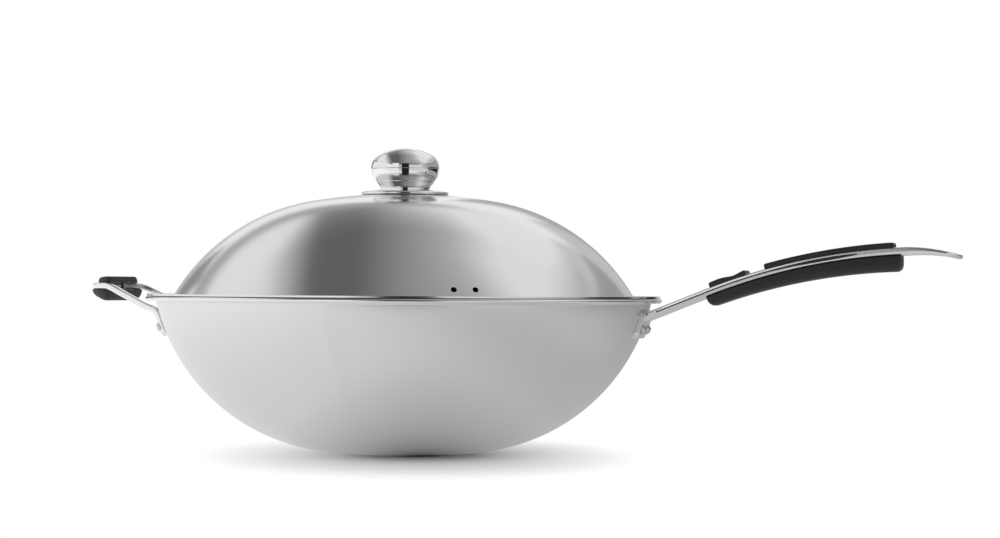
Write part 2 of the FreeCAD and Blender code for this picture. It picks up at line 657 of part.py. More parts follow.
def make_rivet(name, place, sign):
    """A rivet square to the wall: flat inner head, shank and domed outer head."""
    body = new_body(name)
    seat = "plate_thickness + 2 * joint_gap"
    dome = "(rivet_head_radius^2 + rivet_head_height^2) / (2 * rivet_head_height)"
    disc = "-wall - rivet_seat"
    ease = "rivet_disc_height / 2"
    section = outline(body, f"{name}_section", "XZ_Plane", [
        (f"{disc} - rivet_disc_height", "0"),
        (f"{seat} + rivet_head_height", "0", dome, CCW),
        (seat, "rivet_head_radius"),
        (seat, "rivet_radius"),
        (disc, "rivet_radius"),
        (disc, "rivet_disc_radius"),
        (f"{disc} - {ease}", "rivet_disc_radius"),
        (f"{disc} - rivet_disc_height", f"rivet_disc_radius - {ease}"),
    ])
    revolve(body, f"{name}_turned", section, axis="H_Axis")
    body.setExpression("Placement", full(on_wall(place, sign, "0", 0)))
    doc.recompute()
    return body


def make_rivets():
    """The four rivets, two in the bracket and two in the helper tabs."""
    for node, place in (("handle_rivets", "bracket"), ("helper_rivets", "helper")):
        group(node, [make_rivet(f"{place}_{side}_rivet", place, sign) for side, sign in SIDES])


# ---------------------------------------------------------------------------------------------
# Screws
# ---------------------------------------------------------------------------------------------

def cross_loop(reach, half):
    """The outline of a cross drive, arms of a reach and a half width."""
    loop = []
    for across, up in ((1, 1), (-1, 1), (-1, -1), (1, -1)):
        arm = (f"{across} * {half}", f"{up} * {reach}")
        root = (f"{across} * {half}", f"{up} * {half}")
        flank = (f"{across} * {reach}", f"{up} * {half}")
        loop += [flank, root, arm] if across == up else [arm, root, flank]
    return loop


def make_screw(name, shank_radius, shank, head_radius, head_height, placement):
    """A pan-head screw that stands on its head's seat and points along its own +Z."""
    chamfer = f"{shank_radius} / 3"
    crown = f"{head_height} / 2"
    body = turn_ring(name, [
        ("0", f"-{head_height}"),
        (f"{head_radius} - {crown}", f"-{head_height}", crown, CCW),
        (head_radius, f"-{crown}"),
        (head_radius, "0"),
        (shank_radius, "0"),
        (shank_radius, f"{shank} - {chamfer}"),
        (f"{shank_radius} - {chamfer}", shank),
        ("0", shank),
    ])
    drive = outline(body, f"{name}_drive", "XY_Plane",
                    cross_loop(f"{head_radius} * drive_reach", f"{shank_radius} * drive_half"),
                    shift=f"-{head_height}")
    extrude(body, f"{name}_drive_cut", drive, f"{head_height} * drive_depth", kind="PartDesign::Pocket",
            both=False, back=True)
    body.setExpression("Placement", full(placement))
    doc.recompute()
    return body


def make_grip_screws():
    """The three screws from below that draw the upper pads down on the lower grip."""
    screws = []
    for name, height in GRIP_SCREWS.items():
        shank = f"head_seat + bar_half + {height} - grip_tip_cover - tip_play"
        place = square_to_bar(f"{name}_screw_reach_angle", "-head_seat - joint_gap")
        screws.append(make_screw(f"{name}_grip_screw", "grip_screw_radius", shank, "grip_head_radius",
                                 "grip_head_height", place))
    group("grip_screws", screws)


def make_helper_screws():
    """The two screws that clamp the helper pads on the loop."""
    shank = "helper_seat_depth + helper_bar + upper_pad_height - grip_tip_cover - tip_play"
    screws = []
    for side, sign in SIDES:
        place = at("-helper_screw_reach", f"{sign}helper_screw_spread / 2", "helper_seat - joint_gap")
        screws.append(make_screw(f"helper_{side}_screw", "grip_screw_radius", shank, "grip_head_radius",
                                 "grip_head_height", place))
    group("helper_screws", screws)


# ---------------------------------------------------------------------------------------------
# Long handle
# ---------------------------------------------------------------------------------------------

def make_bracket():
    """The curved plate on the wall that carries the long handle."""
    body = new_body("handle_bracket")
    band = wall_band("bracket_bottom", "bracket_top", "joint_gap", "joint_gap + plate_thickness")
    section = outline(body, "BracketSection", "XZ_Plane", band)
    revolve(body, "BracketPlate", section, sweep="bracket_sweep")
    longest = value("2 * plate_thickness")
    soften(body, "BracketCorners", "bracket_round", lambda edge: edge.Length < longest)
    drill_rivets(body, "bracket")
    keep(body)


def frame_side():
    """The side view of the long handle's bars: straight, bent along the grip, and thinned to the tip."""
    lift = "bar_half / cos(handle_slope)"
    return [
        ("bar_start", f"root_level - bar_drop - {lift}"),
        (*on_bar("handle_slope", "-bar_half"), "grip_arc - bar_half", CW),
        (*on_bar("grip_reach_angle", "-bar_half"), "tip_under_arc", CW),
        on_tip("-tip_half"),
        (*on_tip("tip_half"), "tip_top_arc", CCW),
        (*on_bar("grip_reach_angle", "bar_half"), "grip_arc + bar_half", CCW),
        on_bar("handle_slope", "bar_half"),
        ("bar_start", f"root_level - bar_drop + {lift}"),
    ]


def frame_slot():
    """The plan of the space between the rails, round at its far end."""
    end_middle = "slot_end - slot_width / 2"
    return [
        ("plan_start", "-slot_width / 2"),
        (end_middle, "-slot_width / 2", "slot_width / 2", CCW),
        ("slot_end", "0", "slot_width / 2", CCW),
        (end_middle, "slot_width / 2"),
        ("plan_start", "slot_width / 2"),
    ]


def frame_nose():
    """The plan of what is cut away around the round tip."""
    nose = "handle_reach - bar_width / 2"
    return [
        (nose, "-bar_width / 2", "bar_width / 2", CCW),
        ("handle_reach", "0", "bar_width / 2", CCW),
        (nose, "bar_width / 2"),
        (nose, "bar_width"),
        ("handle_reach + bar_width", "bar_width"),
        ("handle_reach + bar_width", "-bar_width"),
        (nose, "-bar_width"),
    ]


def lens(start, end, low, high):
    """A lens in the side view between two slopes: its lower edge along the bar, its upper edge bowed."""
    half = f"(({start} - {end}) / 2)"
    rise = f"((grip_arc + {low}) * (1 - cos({half})) + ({high}) - ({low}))"
    bow = f"(((grip_arc + {low}) * sin({half}))^2 + {rise}^2) / (2 * {rise})"
    return [(*on_bar(start, low), f"grip_arc + {low}", CW),
            (*on_bar(end, low), bow, CCW)]


def make_long_frame():
    """The hairpin of two rails, cut to the bracket, rounded, and with a seat in each outer side."""
    body = new_body("long_handle_frame")
    extrude(body, "FrameBar", outline(body, "FrameSide", "XZ_Plane", frame_side()), "bar_width")
    cut_through(body, "SlotCut", outline(body, "FrameSlot", "XY_Plane", frame_slot()))
    cut_through(body, "NoseCut", outline(body, "FrameNose", "XY_Plane", frame_nose()))
    cut_to_wall(body, "RootCut", "bracket_bottom - bar_height", "bracket_top + bar_height",
                "plate_thickness + 2 * joint_gap")
    root = value("side_radius + plate_thickness + bar_height")
    longer = value("bar_height")
    soften(body, "FrameRounds", "bar_round", lambda edge: edge.Length > longer and edge.BoundBox.XMax > root)
    seat = lens("inlay_start_angle", "inlay_end_angle", "inlay_low", "inlay_high")
    for side, shift in (("Near", "bar_width / 2 - inlay_depth"), ("Far", "-bar_width / 2")):
        section = outline(body, f"{side}InlaySeat", "XZ_Plane", seat, shift=shift)
        extrude(body, f"{side}InlayPocket", section, "inlay_depth", kind="PartDesign::Pocket",
                both=False, back=True)
    keep(body)


def make_inlays():
    """The lens-shaped strip in the outer side of each rail."""
    loop = lens("strip_start_angle", "strip_end_angle", "inlay_low + joint_gap", "inlay_high - joint_gap")
    strips = []
    for side, shift in (("near", "bar_width / 2 - inlay_depth + joint_gap"), ("far", "-bar_width / 2")):
        strip = new_body(f"{side}_inlay")
        section = outline(strip, f"{side}_inlay_section", "XZ_Plane", loop, shift=shift)
        extrude(strip, f"{side}_inlay_strip", section, "inlay_depth - joint_gap", both=False)
        strips.append(strip)
    group("rail_inlays", strips)


def round_pad(body, name, height):
    """Rounds the top edges of a pad on the bar: both long sides and both ends."""
    floor = value(f"grip_seat_face + {height} / 2")
    longer = value(f"2 * {height}")
    soften(body, name, "pad_round", lambda edge: edge.Length > longer and above_bar(edge) > floor)


def drill_pad(body, name):
    """The blind hole for a grip screw's tip, from the bar's middle line up into a pad."""
    depth = f"bar_half + {GRIP_SCREWS[name]} - grip_tip_cover"
    place = square_to_bar(f"{name}_screw_reach_angle", "0")
    drill(body, f"{name}_screw_hole", "grip_screw_bore", depth, place)


def make_thumb_pad():
    """The short pad on top of the bar, hollowed for the thumb."""
    body = new_body("thumb_pad")
    high = "grip_seat_face + thumb_height"
    side = outline(body, "ThumbSide", "XZ_Plane", [
        (*on_bar("thumb_start_angle", "grip_seat_face"), "grip_arc + grip_seat_face", CW),
        on_bar("thumb_end_angle", "grip_seat_face"),
        (*on_bar("thumb_end_angle", high), "thumb_arc", CW),
        on_bar("thumb_start_angle", high),
    ])
    extrude(body, "ThumbBlock", side, "grip_width")
    round_pad(body, "ThumbRounds", "thumb_height")
    drill_pad(body, "thumb")
    keep(body)


def make_upper_grip():
    """The long pad on top of the bar."""
    body = new_body("upper_grip")
    band = bar_band("upper_start_angle", "upper_end_angle", "grip_seat_face", "grip_seat_face + upper_height")
    extrude(body, "UpperBlock", outline(body, "UpperSide", "XZ_Plane", band), "grip_width")
    round_pad(body, "UpperRounds", "upper_height")
    for name in ("near", "far"):
        drill_pad(body, name)
    keep(body)


def make_lower_grip():
    """The grip under the bar, deeper to the rear, with a tongue up between the rails."""
    body = new_body("lower_grip")
    top = "-grip_seat_face"
    side = outline(body, "LowerSide", "XZ_Plane", [
        (*on_bar("lower_start_angle", f"{top} - lower_front_depth"),
         "grip_arc - (lower_front_depth + lower_rear_depth) / 2", CW),
        on_bar("lower_end_angle", f"{top} - lower_rear_depth"),
        (*on_bar("lower_end_angle", top), f"grip_arc + {top}", CCW),
        on_bar("lower_start_angle", top),
    ])
    extrude(body, "LowerBlock", side, "grip_width")
    ceiling = value(f"{top} - lower_front_depth / 4")
    soften(body, "LowerRounds", "lower_round", lambda edge: above_bar(edge) < ceiling)
    band = bar_band("tongue_start_angle", "upper_end_angle", f"{top} - overrun", "bar_half")
    extrude(body, "Tongue", outline(body, "TongueSide", "XZ_Plane", band), "slot_width - 2 * tongue_play")
    for name in GRIP_SCREWS:
        angle = f"{name}_screw_reach_angle"
        drill(body, f"{name}_screw_hole", "grip_screw_bore", "head_seat + bar_height",
              square_to_bar(angle, "-head_seat - overrun"))
        drill(body, f"{name}_head_recess", "head_recess", "lower_rear_depth",
              square_to_bar(angle, "-head_seat - lower_rear_depth"))
    keep(body)


# ---------------------------------------------------------------------------------------------
# Helper handle
# ---------------------------------------------------------------------------------------------

def helper_side():
    """The side view of the helper loop and of its falling legs."""
    corner = "helper_half * tan(helper_slope / 2)"
    half_cut = "helper_half / cos(helper_slope)"
    return [
        ("-helper_reach", "helper_level - helper_half"),
        (f"-helper_bend_reach + {corner}", "helper_level - helper_half"),
        ("-bar_start", f"helper_level - leg_drop - {half_cut}"),
        ("-bar_start", f"helper_level - leg_drop + {half_cut}"),
        (f"-helper_bend_reach - {corner}", "helper_level + helper_half"),
        ("-helper_reach", "helper_level + helper_half"),
    ]


def helper_plan(inward):
    """The plan of the loop's outer edge, or of its opening: a half round end and two legs that spread."""
    radius = f"(helper_arc - {inward})"
    foot = f"(helper_spread / 2 + helper_width / 2 - {inward})"
    return [
        ("-helper_centre", radius, radius, CCW),
        (f"-helper_centre - {radius}", "0", radius, CCW),
        ("-helper_centre", f"-{radius}"),
        ("-plan_start", f"-{foot}"),
        ("-plan_start", foot),
    ]


def make_helper_frame():
    """The steel loop, with two legs that fall to flattened tabs on the wall."""
    body = new_body("helper_handle_frame")
    extrude(body, "HelperBlock", outline(body, "HelperSide", "XZ_Plane", helper_side()),
            "2 * (helper_arc + 2 * helper_width)")
    bend = value("helper_bend_reach")
    beside = value("helper_width / 2")
    across = FreeCAD.Vector(0, 1, 0)
    soften(body, "HelperBends", "helper_bend_round",
           lambda edge: along(edge, across) and abs(edge.BoundBox.XMax + bend) < beside)
    wide = "(helper_arc + 3 * helper_width)"
    far = "-helper_reach - helper_width"
    near = "-plan_start + 10 * wall"
    around = [(near, wide), (far, wide), (far, f"-{wide}"), (near, f"-{wide}")]
    cut_through(body, "HelperTrim", outline(body, "HelperPlan", "XY_Plane", around, helper_plan("0")))
    cut_through(body, "HelperCut", outline(body, "HelperOpening", "XY_Plane", helper_plan("helper_width")))
    cut_to_wall(body, "HelperRootCut", "tab_bottom - helper_bar", "tab_top + helper_bar", "joint_gap")
    band = wall_band("tab_bottom", "tab_top", "joint_gap", "joint_gap + plate_thickness")
    tab = outline(body, "TabSection", "XZ_Plane", band, turn="helper_azimuth")
    mirror(body, "OtherTab", revolve(body, "Tab", tab, sweep="tab_sweep"))
    longest = value("2 * plate_thickness")
    floor = value("tab_bottom + plate_thickness")
    soften(body, "TabCorners", "tab_round", lambda edge: edge.Length < longest and edge.BoundBox.ZMax < floor)
    drill_rivets(body, "helper")
    keep(body)


def pad_plan(overhang):
    """The plan of a helper pad: the loop's end grown by overhang, closed by a straight inner side."""
    radius = f"(helper_arc + {overhang})"
    half = f"sqrt({radius}^2 - (pad_inner_reach - helper_centre)^2)"
    return [
        ("-pad_inner_reach", half, radius, CCW),
        (f"-helper_centre - {radius}", "0", radius, CCW),
        ("-pad_inner_reach", f"-{half}"),
    ]


def make_upper_pad():
    """The pad on top of the helper loop."""
    body = new_body("helper_upper_pad")
    plan = outline(body, "UpperPadPlan", "XY_Plane", pad_plan("-upper_pad_setback"), shift="helper_over")
    extrude(body, "UpperPadBlock", plan, "upper_pad_height", both=False)
    soften(body, "UpperPadCorners", "pad_corner_round", upright)
    belt = value("helper_over + upper_pad_height / 2")
    soften(body, "UpperPadTop", "upper_pad_round", lambda edge: edge.BoundBox.ZMin > belt)
    for side, sign in SIDES:
        place = at("-helper_screw_reach", f"{sign}helper_screw_spread / 2", "helper_level")
        drill(body, f"upper_pad_{side}_hole", "grip_screw_bore",
              "helper_half + upper_pad_height - grip_tip_cover", place)
    keep(body)


def make_lower_pad():
    """The pad under the helper loop, with a plug up through the loop."""
    body = new_body("helper_lower_pad")
    plan = outline(body, "LowerPadPlan", "XY_Plane", pad_plan("lower_pad_overhang"), shift="helper_under")
    extrude(body, "LowerPadBlock", plan, "lower_pad_height", both=False, back=True)
    soften(body, "LowerPadCorners", "pad_corner_round", upright)
    belt = value("helper_under - lower_pad_height / 2")
    soften(body, "LowerPadBottom", "lower_pad_round", lambda edge: edge.BoundBox.ZMax < belt)
    plug = outline(body, "PlugPlan", "XY_Plane", pad_plan("-helper_width - plug_play"),
                   shift="helper_under - overrun")
    extrude(body, "Plug", plug, "overrun + joint_gap + helper_bar", both=False)
    for side, sign in SIDES:
        across = f"{sign}helper_screw_spread / 2"
        length = "helper_seat_depth + helper_bar + 2 * overrun"
        drill(body, f"lower_pad_{side}_hole", "grip_screw_bore", length,
              at("-helper_screw_reach", across, "helper_seat - overrun"))
        drill(body, f"lower_pad_{side}_recess", "head_recess", "lower_pad_height",
              at("-helper_screw_reach", across, "helper_seat - lower_pad_height"))
    keep(body)


# ---------------------------------------------------------------------------------------------
# Lid and knob
# ---------------------------------------------------------------------------------------------

def crown_at(reach, inward):
    """The level of the lid's crown at a reach from the axis, inward from its outside."""
    return f"crown_level + sqrt((crown_arc - {inward})^2 - ({reach})^2)"


def dome_point(angle, inward):
    """A point of the dome's shoulder where it has a slope, inward from its outside."""
    return (f"shoulder_middle + (shoulder_arc - {inward}) * sin({angle})",
            f"shoulder_level + (shoulder_arc - {inward}) * cos({angle})")


def make_lid():
    """The pressed lid: dome, flange, locating bead, screw hole and the two steam vents."""
    body = turn_ring("lid_dome", [
        ("screw_bore", crown_at("screw_bore", "lid_sheet"), "crown_arc - lid_sheet", CW),
        (*dome_point("crown_angle", "lid_sheet"), "shoulder_arc - lid_sheet", CW),
        dome_point("foot_angle", "lid_sheet"),
        ("dome_foot - lid_sheet * tan(foot_angle / 2)", "lid_under"),
        ("bead_inner - bead_slant + lid_sheet - sheet_skew", "lid_under"),
        ("bead_inner + lid_sheet - sheet_skew", "lid_under - bead_depth"),
        ("bead_outer - lid_sheet + sheet_skew", "lid_under - bead_depth"),
        ("bead_outer + bead_slant - lid_sheet + sheet_skew", "lid_under"),
        ("lid_radius", "lid_under"),
        ("lid_radius", "lid_upper"),
        ("bead_outer + bead_slant - lid_sheet", "lid_upper"),
        ("bead_outer - lid_sheet", "lid_upper - bead_depth"),
        ("bead_inner + lid_sheet", "lid_upper - bead_depth"),
        ("bead_inner - bead_slant + lid_sheet", "lid_upper"),
        ("dome_foot", "lid_upper", "shoulder_arc", CCW),
        (*dome_point("crown_angle", "0"), "crown_arc", CCW),
        ("screw_bore", crown_at("screw_bore", "0")),
    ])
    reach, level = dome_point("vent_angle", "4 * lid_sheet")
    for name, sign in (("LeftVent", "-"), ("RightVent", "+")):
        azimuth = f"(vent_azimuth {sign} vent_spread / 2)"
        place = (f"placement(vector(({reach}) * cos({azimuth}); ({reach}) * sin({azimuth}); {level});"
                 f" rotation(vector(0; 0; 1); {azimuth}) * rotation(vector(0; 1; 0); vent_angle))")
        drill(body, name, "vent_radius", "8 * lid_sheet", place)
    keep(body)


def make_rosette():
    """The polished cone between the dome and the knob."""
    keep(turn_ring("knob_rosette", [
        ("screw_bore", "rosette_top - 2 * rosette_edge"),
        ("neck_radius - rosette_edge", "rosette_top - 2 * rosette_edge"),
        ("rosette_radius - 2 * rosette_edge", "rosette_foot"),
        ("rosette_radius", "rosette_foot"),
        ("rosette_radius", "rosette_foot + rosette_edge"),
        ("neck_radius + 2 * rosette_edge", "rosette_top - rosette_edge / 3"),
        ("neck_radius", "rosette_top"),
        ("screw_bore", "rosette_top"),
    ]))


def make_knob_cup():
    """The knob's lower shell, closed at its foot and open at the seam."""
    side = "knob_radius - seam_height / 2"
    keep(turn_ring("knob_cup", [
        ("screw_bore", "cup_foot"),
        ("neck_radius", "cup_foot"),
        ("neck_radius", "cup_foot + neck_step", "cup_arc", CCW),
        (side, "seam_level - joint_gap"),
        (f"{side} - knob_sheet", "seam_level - joint_gap", "cup_arc - knob_sheet", CW),
        ("neck_radius - knob_sheet", "cup_foot + neck_step"),
        ("neck_radius - knob_sheet", "cup_foot + knob_sheet"),
        ("screw_bore", "cup_foot + knob_sheet"),
    ]))


def cap_turn(inward):
    """Where the cap's two arcs meet, inward from its outside."""
    return (f"(cap_crown_arc - {inward}) * sin(cap_crown_angle)",
            f"cap_top - cap_crown_arc + (cap_crown_arc - {inward}) * cos(cap_crown_angle)")


def make_knob_cap():
    """The knob's upper shell, with the rolled seam at its foot."""
    keep(turn_ring("knob_cap", [
        ("knob_radius - knob_sheet - seam_height / 2", "seam_level"),
        ("knob_radius - seam_height / 3", "seam_level"),
        ("knob_radius", "seam_level + seam_height / 3"),
        ("knob_radius", "cap_foot", "cap_side_arc", CCW),
        (*cap_turn("0"), "cap_crown_arc", CCW),
        ("0", "cap_top"),
        ("0", "cap_top - knob_sheet", "cap_crown_arc - knob_sheet", CW),
        (*cap_turn("knob_sheet"), "cap_side_arc - knob_sheet", CW),
        ("knob_radius - knob_sheet", "cap_foot"),
        ("knob_radius - knob_sheet - seam_height / 2", "cap_foot - seam_height / 3"),
    ]))


def make_knob_inside():
    """The moulded core that fills the shells and the threaded insert in its middle."""
    bore = "insert_radius + joint_gap"
    roof = "insert_foot + insert_height + joint_gap"
    side = "knob_radius - seam_height - knob_wall - joint_gap"
    core_reach, core_top = cap_turn("knob_wall")
    keep(turn_ring("knob_core", [
        (bore, "cup_foot + knob_wall"),
        ("neck_radius - knob_wall", "cup_foot + knob_wall"),
        ("neck_radius - knob_wall", "cup_foot + neck_step"),
        (side, "seam_level"),
        (side, "cap_foot"),
        (core_reach, core_top),
        ("0", core_top),
        ("0", roof),
        (bore, roof),
    ]))
    keep(make_washer("knob_insert", "insert_radius", "insert_foot", "insert_foot + insert_height"))


def make_washer(name, outer, low, high):
    """A plain ring around the knob screw."""
    return turn_ring(name, [("screw_bore", low), (outer, low), (outer, high), ("screw_bore", high)])


def make_knob_fixings():
    """What clamps the knob on the lid, from the inside: gasket, washer, lock washer and screw."""
    gasket = f"{crown_at('gasket_radius', 'lid_sheet')} - joint_gap"
    washer = f"{gasket} - gasket_height - joint_gap"
    lock = f"{washer} - washer_height - joint_gap"
    head = f"{lock} - spring_height - joint_gap"
    keep(make_washer("lid_gasket", "gasket_radius", f"{gasket} - gasket_height", gasket))
    keep(make_washer("knob_washer", "washer_radius", f"{washer} - washer_height", washer))
    body = make_washer("knob_lock_washer", "spring_radius", f"{lock} - spring_height", lock)
    low = f"{lock} - 2 * spring_height"
    high = f"{lock} + spring_height"
    split = outline(body, "LockSplit", "XZ_Plane",
                    [("0", low), ("2 * spring_radius", low), ("2 * spring_radius", high), ("0", high)])
    extrude(body, "LockSplitCut", split, "split_width", kind="PartDesign::Pocket")
    keep(body)
    shank = f"cup_foot + screw_reach - ({head})"
    keep(make_screw("knob_screw", "screw_radius", shank, "screw_head_radius", "screw_head_height",
                    at("0", "0", head)))


# ---------------------------------------------------------------------------------------------
# The whole object
# ---------------------------------------------------------------------------------------------

def check_document():
    """Stops with the names of any objects that failed or shapes that aren't sound."""
    broken = [item.Name for item in doc.Objects if {"Invalid", "Error"} & set(item.State)]
    if broken:
        raise RuntimeError("failed objects: " + ", ".join(broken))
    for piece in kept:
        if piece.Shape.isNull() or not piece.Shape.isValid() or not piece.Shape.Solids:
            raise RuntimeError("unsound shape: " + piece.Label)


def write_parts():
    """One STEP file for each kept piece."""
    os.makedirs("parts", exist_ok=True)
    for piece in kept:
        piece.Shape.exportStep(f"parts/{piece.Label}.step")


make_bowl()
make_rivets()
make_bracket()
make_long_frame()
make_inlays()
make_thumb_pad()
make_upper_grip()
make_lower_grip()
make_grip_screws()
make_helper_frame()
make_upper_pad()
make_lower_pad()
make_helper_screws()
make_lid()
make_rosette()
make_knob_cup()
make_knob_cap()
make_knob_inside()
make_knob_fixings()
doc.recompute()
check_document()
write_parts()
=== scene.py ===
"""Covered steel wok: dresses the packed solids, lights them and sets the camera."""

import math

import bmesh
import bpy
from bpy.props import FloatProperty, FloatVectorProperty, IntProperty, PointerProperty
from mathutils import Matrix, Vector


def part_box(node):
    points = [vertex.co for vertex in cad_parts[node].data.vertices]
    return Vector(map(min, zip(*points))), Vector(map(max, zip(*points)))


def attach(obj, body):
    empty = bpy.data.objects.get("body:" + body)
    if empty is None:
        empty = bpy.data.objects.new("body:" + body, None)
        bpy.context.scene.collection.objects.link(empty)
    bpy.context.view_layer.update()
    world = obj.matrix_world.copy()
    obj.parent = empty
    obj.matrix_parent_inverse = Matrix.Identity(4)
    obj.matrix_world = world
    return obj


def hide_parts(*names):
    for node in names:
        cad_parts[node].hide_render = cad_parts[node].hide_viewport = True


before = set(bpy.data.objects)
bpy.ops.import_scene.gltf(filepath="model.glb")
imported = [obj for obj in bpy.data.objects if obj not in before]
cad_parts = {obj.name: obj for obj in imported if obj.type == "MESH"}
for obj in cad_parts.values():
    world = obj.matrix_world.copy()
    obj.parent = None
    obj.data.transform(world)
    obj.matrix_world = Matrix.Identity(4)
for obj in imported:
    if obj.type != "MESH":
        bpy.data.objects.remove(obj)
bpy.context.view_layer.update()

bl_info = {
    "name": "Covered wok",
    "version": (1, 0, 0),
    "blender": (4, 5, 0),
    "location": "3D View > Sidebar > Wok",
    "description": "Makes a covered steel wok with two handles, and its studio",
    "category": "Add Mesh",
}

CCW, CW = 1, -1
SIDES = (-1, 1)
QUARTER = math.pi / 2
ARC_STEP = math.radians(2.5)
DOME_STEP = math.radians(1.2)
WELD = 1e-7     # points closer than this are one
HAIR = 0.00005  # gap between pieces that would otherwise share a face
WHITE = (1.0, 1.0, 1.0)
BLACK = (0.0, 0.0, 0.0)


# ---------------------------------------------------------------------------------------------
# Sizes and colours that a user would change
# ---------------------------------------------------------------------------------------------

def reach_of(node):
    """The farthest reach of a node from the axis, along X."""
    low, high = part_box(node)
    return max(-low.x, high.x)


def width_of(node):
    """Half of a node's width, along Y."""
    low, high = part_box(node)
    return (high.y - low.y) / 2


def length(name, default, description):
    """A length property, in metres."""
    return FloatProperty(name=name, description=description, default=default, min=0.0,
                         precision=5, subtype="DISTANCE", unit="LENGTH")


def turn(name, degrees, description):
    """An angle property."""
    return FloatProperty(name=name, description=description, default=math.radians(degrees),
                         subtype="ANGLE", unit="ROTATION")


def share(name, default, description):
    """A property from 0 to 1."""
    return FloatProperty(name=name, description=description, default=default, min=0.0, max=1.0,
                         subtype="FACTOR")


def colour(name, default, description):
    """A colour property."""
    return FloatVectorProperty(name=name, description=description, default=default, min=0.0,
                               max=1.0, size=3, subtype="COLOR")


class BowlSizes(bpy.types.PropertyGroup):
    """The spun bowl and its rim."""
    foot: length("Foot", 0.041, "Radius of the flat foot")
    side: length("Side", 0.1729, "Outside of the wall, just under the rim, from the axis")
    height: length("Height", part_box("wok_bowl")[1].z, "Floor to the top of the rim")
    wall: length("Wall", 0.0022, "Thickness of the wall")
    rim: length("Rim", width_of("wok_bowl"), "Edge of the rim, from the axis")
    lip: length("Lip", 0.001, "Depth of the rim's edge bead below the rim sheet")
    flare: length("Flare", 0.0025, "Rounds under the rim and at the mouth")


class LidSizes(bpy.types.PropertyGroup):
    """The pressed lid."""
    edge: length("Edge", width_of("lid_dome"), "Edge of the flange, from the axis")
    sheet: length("Sheet", 0.0012, "Thickness of the lid's sheet")
    gap: length("Gap", 0.0003, "Running gap between the lid and the bowl")
    crown: length("Crown", 0.3868, "Radius of the dome about its middle")
    crown_turn: turn("Crown angle", 9.7, "Half angle of the crown")
    foot_turn: turn("Foot angle", 59.3, "Slope of the dome where it meets the flange")
    bead: length("Bead", 0.003, "Depth and width of the locating bead")
    slant: length("Slant", 0.0015, "Run of each side of the bead")
    shelf: length("Shelf", 0.0052, "Flat between the dome's foot and the bead")
    play: length("Play", 0.0008, "Bead inside the bowl's mouth")
    vent: length("Vent", 0.002, "Radius of the two steam vents")
    vent_rise: length("Vent rise", 0.0043, "Steam vents above the flange")
    vent_azimuth: turn("Vent azimuth", -60.7, "Middle of the two steam vents, about the axis")
    vent_spread: turn("Vent spread", 5.3, "Angle between the two steam vents")


class KnobSizes(bpy.types.PropertyGroup):
    """The turned knob and its rosette."""
    radius: length("Radius", reach_of("knob_cap"), "Widest ring of the knob")
    neck: length("Neck", 0.017, "Foot of the knob, from the axis")
    foot: length("Foot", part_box("knob_cup")[0].z - 0.0012, "Underside of the knob, above the floor")
    seam: length("Seam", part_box("knob_cap")[0].z - 0.0013, "Seam of cup and cap, above the floor")
    top: length("Top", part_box("knob_cap")[1].z, "Top of the knob, above the floor")
    roll: length("Roll", 0.0009, "Band where the cap is rolled over the cup")
    rosette: length("Rosette", reach_of("knob_rosette"), "Edge of the rosette, from the axis")
    brim: length("Brim", 0.0024, "Thickness of the rosette's edge")


class HandleSizes(bpy.types.PropertyGroup):
    """The long handle's rails and grips."""
    root: length("Root", 0.177, "Middle line of the bars at the bracket, from the axis")
    root_level: length("Root level", 0.0974, "Middle line at the bracket, above the floor")
    slope: turn("Slope", 21.8, "Rise of the straight part")
    bend: length("Bend", 0.216, "End of the straight part, from the axis")
    grip_arc: length("Grip arc", 0.410, "Bend of the gripped part")
    grip_end: length("Grip end", 0.352, "End of the gripped part, from the axis")
    tip_arc: length("Tip arc", 0.115, "Bend of the tip")
    tip: length("Tip", reach_of("long_handle_frame") - 0.0002, "Tip of the handle, from the axis")
    bar: length("Bar", 0.0056, "Height of the bars")
    tip_bar: length("Bar at the tip", 0.0028, "Height of the bars at the tip")
    width: length("Width", 0.024, "Across both rails")
    rail: length("Rail", 0.0052, "Width of each rail")
    bridge: length("Bridge", 0.009, "Solid steel between the slot's end and the tip")
    rounding: length("Rounding", 0.0011, "Rounded edges of the bars")
    ridge: length("Ridge", 0.0006, "Line along the bars' outer sides, above their middle")
    # The dark line is painted shade along the ridge, from the root up to the lens.
    line: length("Line", 0.0008, "Width of the dark line let into the ridge")
    lens_start: length("Lens start", 0.254, "Near end of the dark lens, from the axis")
    lens_end: length("Lens end", 0.3185, "Far end of the dark lens, from the axis")
    lens: length("Lens", 0.0022, "Height of the dark lens at its thickest")


class GripSizes(bpy.types.PropertyGroup):
    """The plastic pads and grips of the long handle."""
    overhang: length("Overhang", 0.0004, "Grips wider than the bars, each side")
    thumb_start: length("Thumb pad start", 0.2192, "Near end of the thumb pad, from the axis")
    thumb_end: length("Thumb pad end", 0.2437, "Far end of the thumb pad, from the axis")
    thumb_height: length("Thumb pad height", 0.0035, "Thumb pad above the bars, at its thickest")
    thumb_dip: length("Thumb dip", 0.0013, "Hollow of the thumb pad")
    upper_start: length("Upper start", 0.2565, "Near end of the upper grip, from the axis")
    upper_end: length("Upper end", 0.3425, "Far end of the upper grip, from the axis")
    upper_height: length("Upper height", 0.0035, "Upper grip above the bars")
    lower_start: length("Lower start", 0.2148, "Near end of the lower grip, from the axis")
    lower_end: length("Lower end", 0.3472, "Far end of the lower grip, from the axis")
    front_depth: length("Front depth", 0.0072, "Lower grip below the bars, near end")
    rear_depth: length("Rear depth", 0.0108, "Lower grip below the bars, far end")
    edge: length("Edge", 0.0015, "Rounded edges of the upper pads")
    lower_edge: length("Lower edge", 0.0055, "Rounded edges of the lower grip")


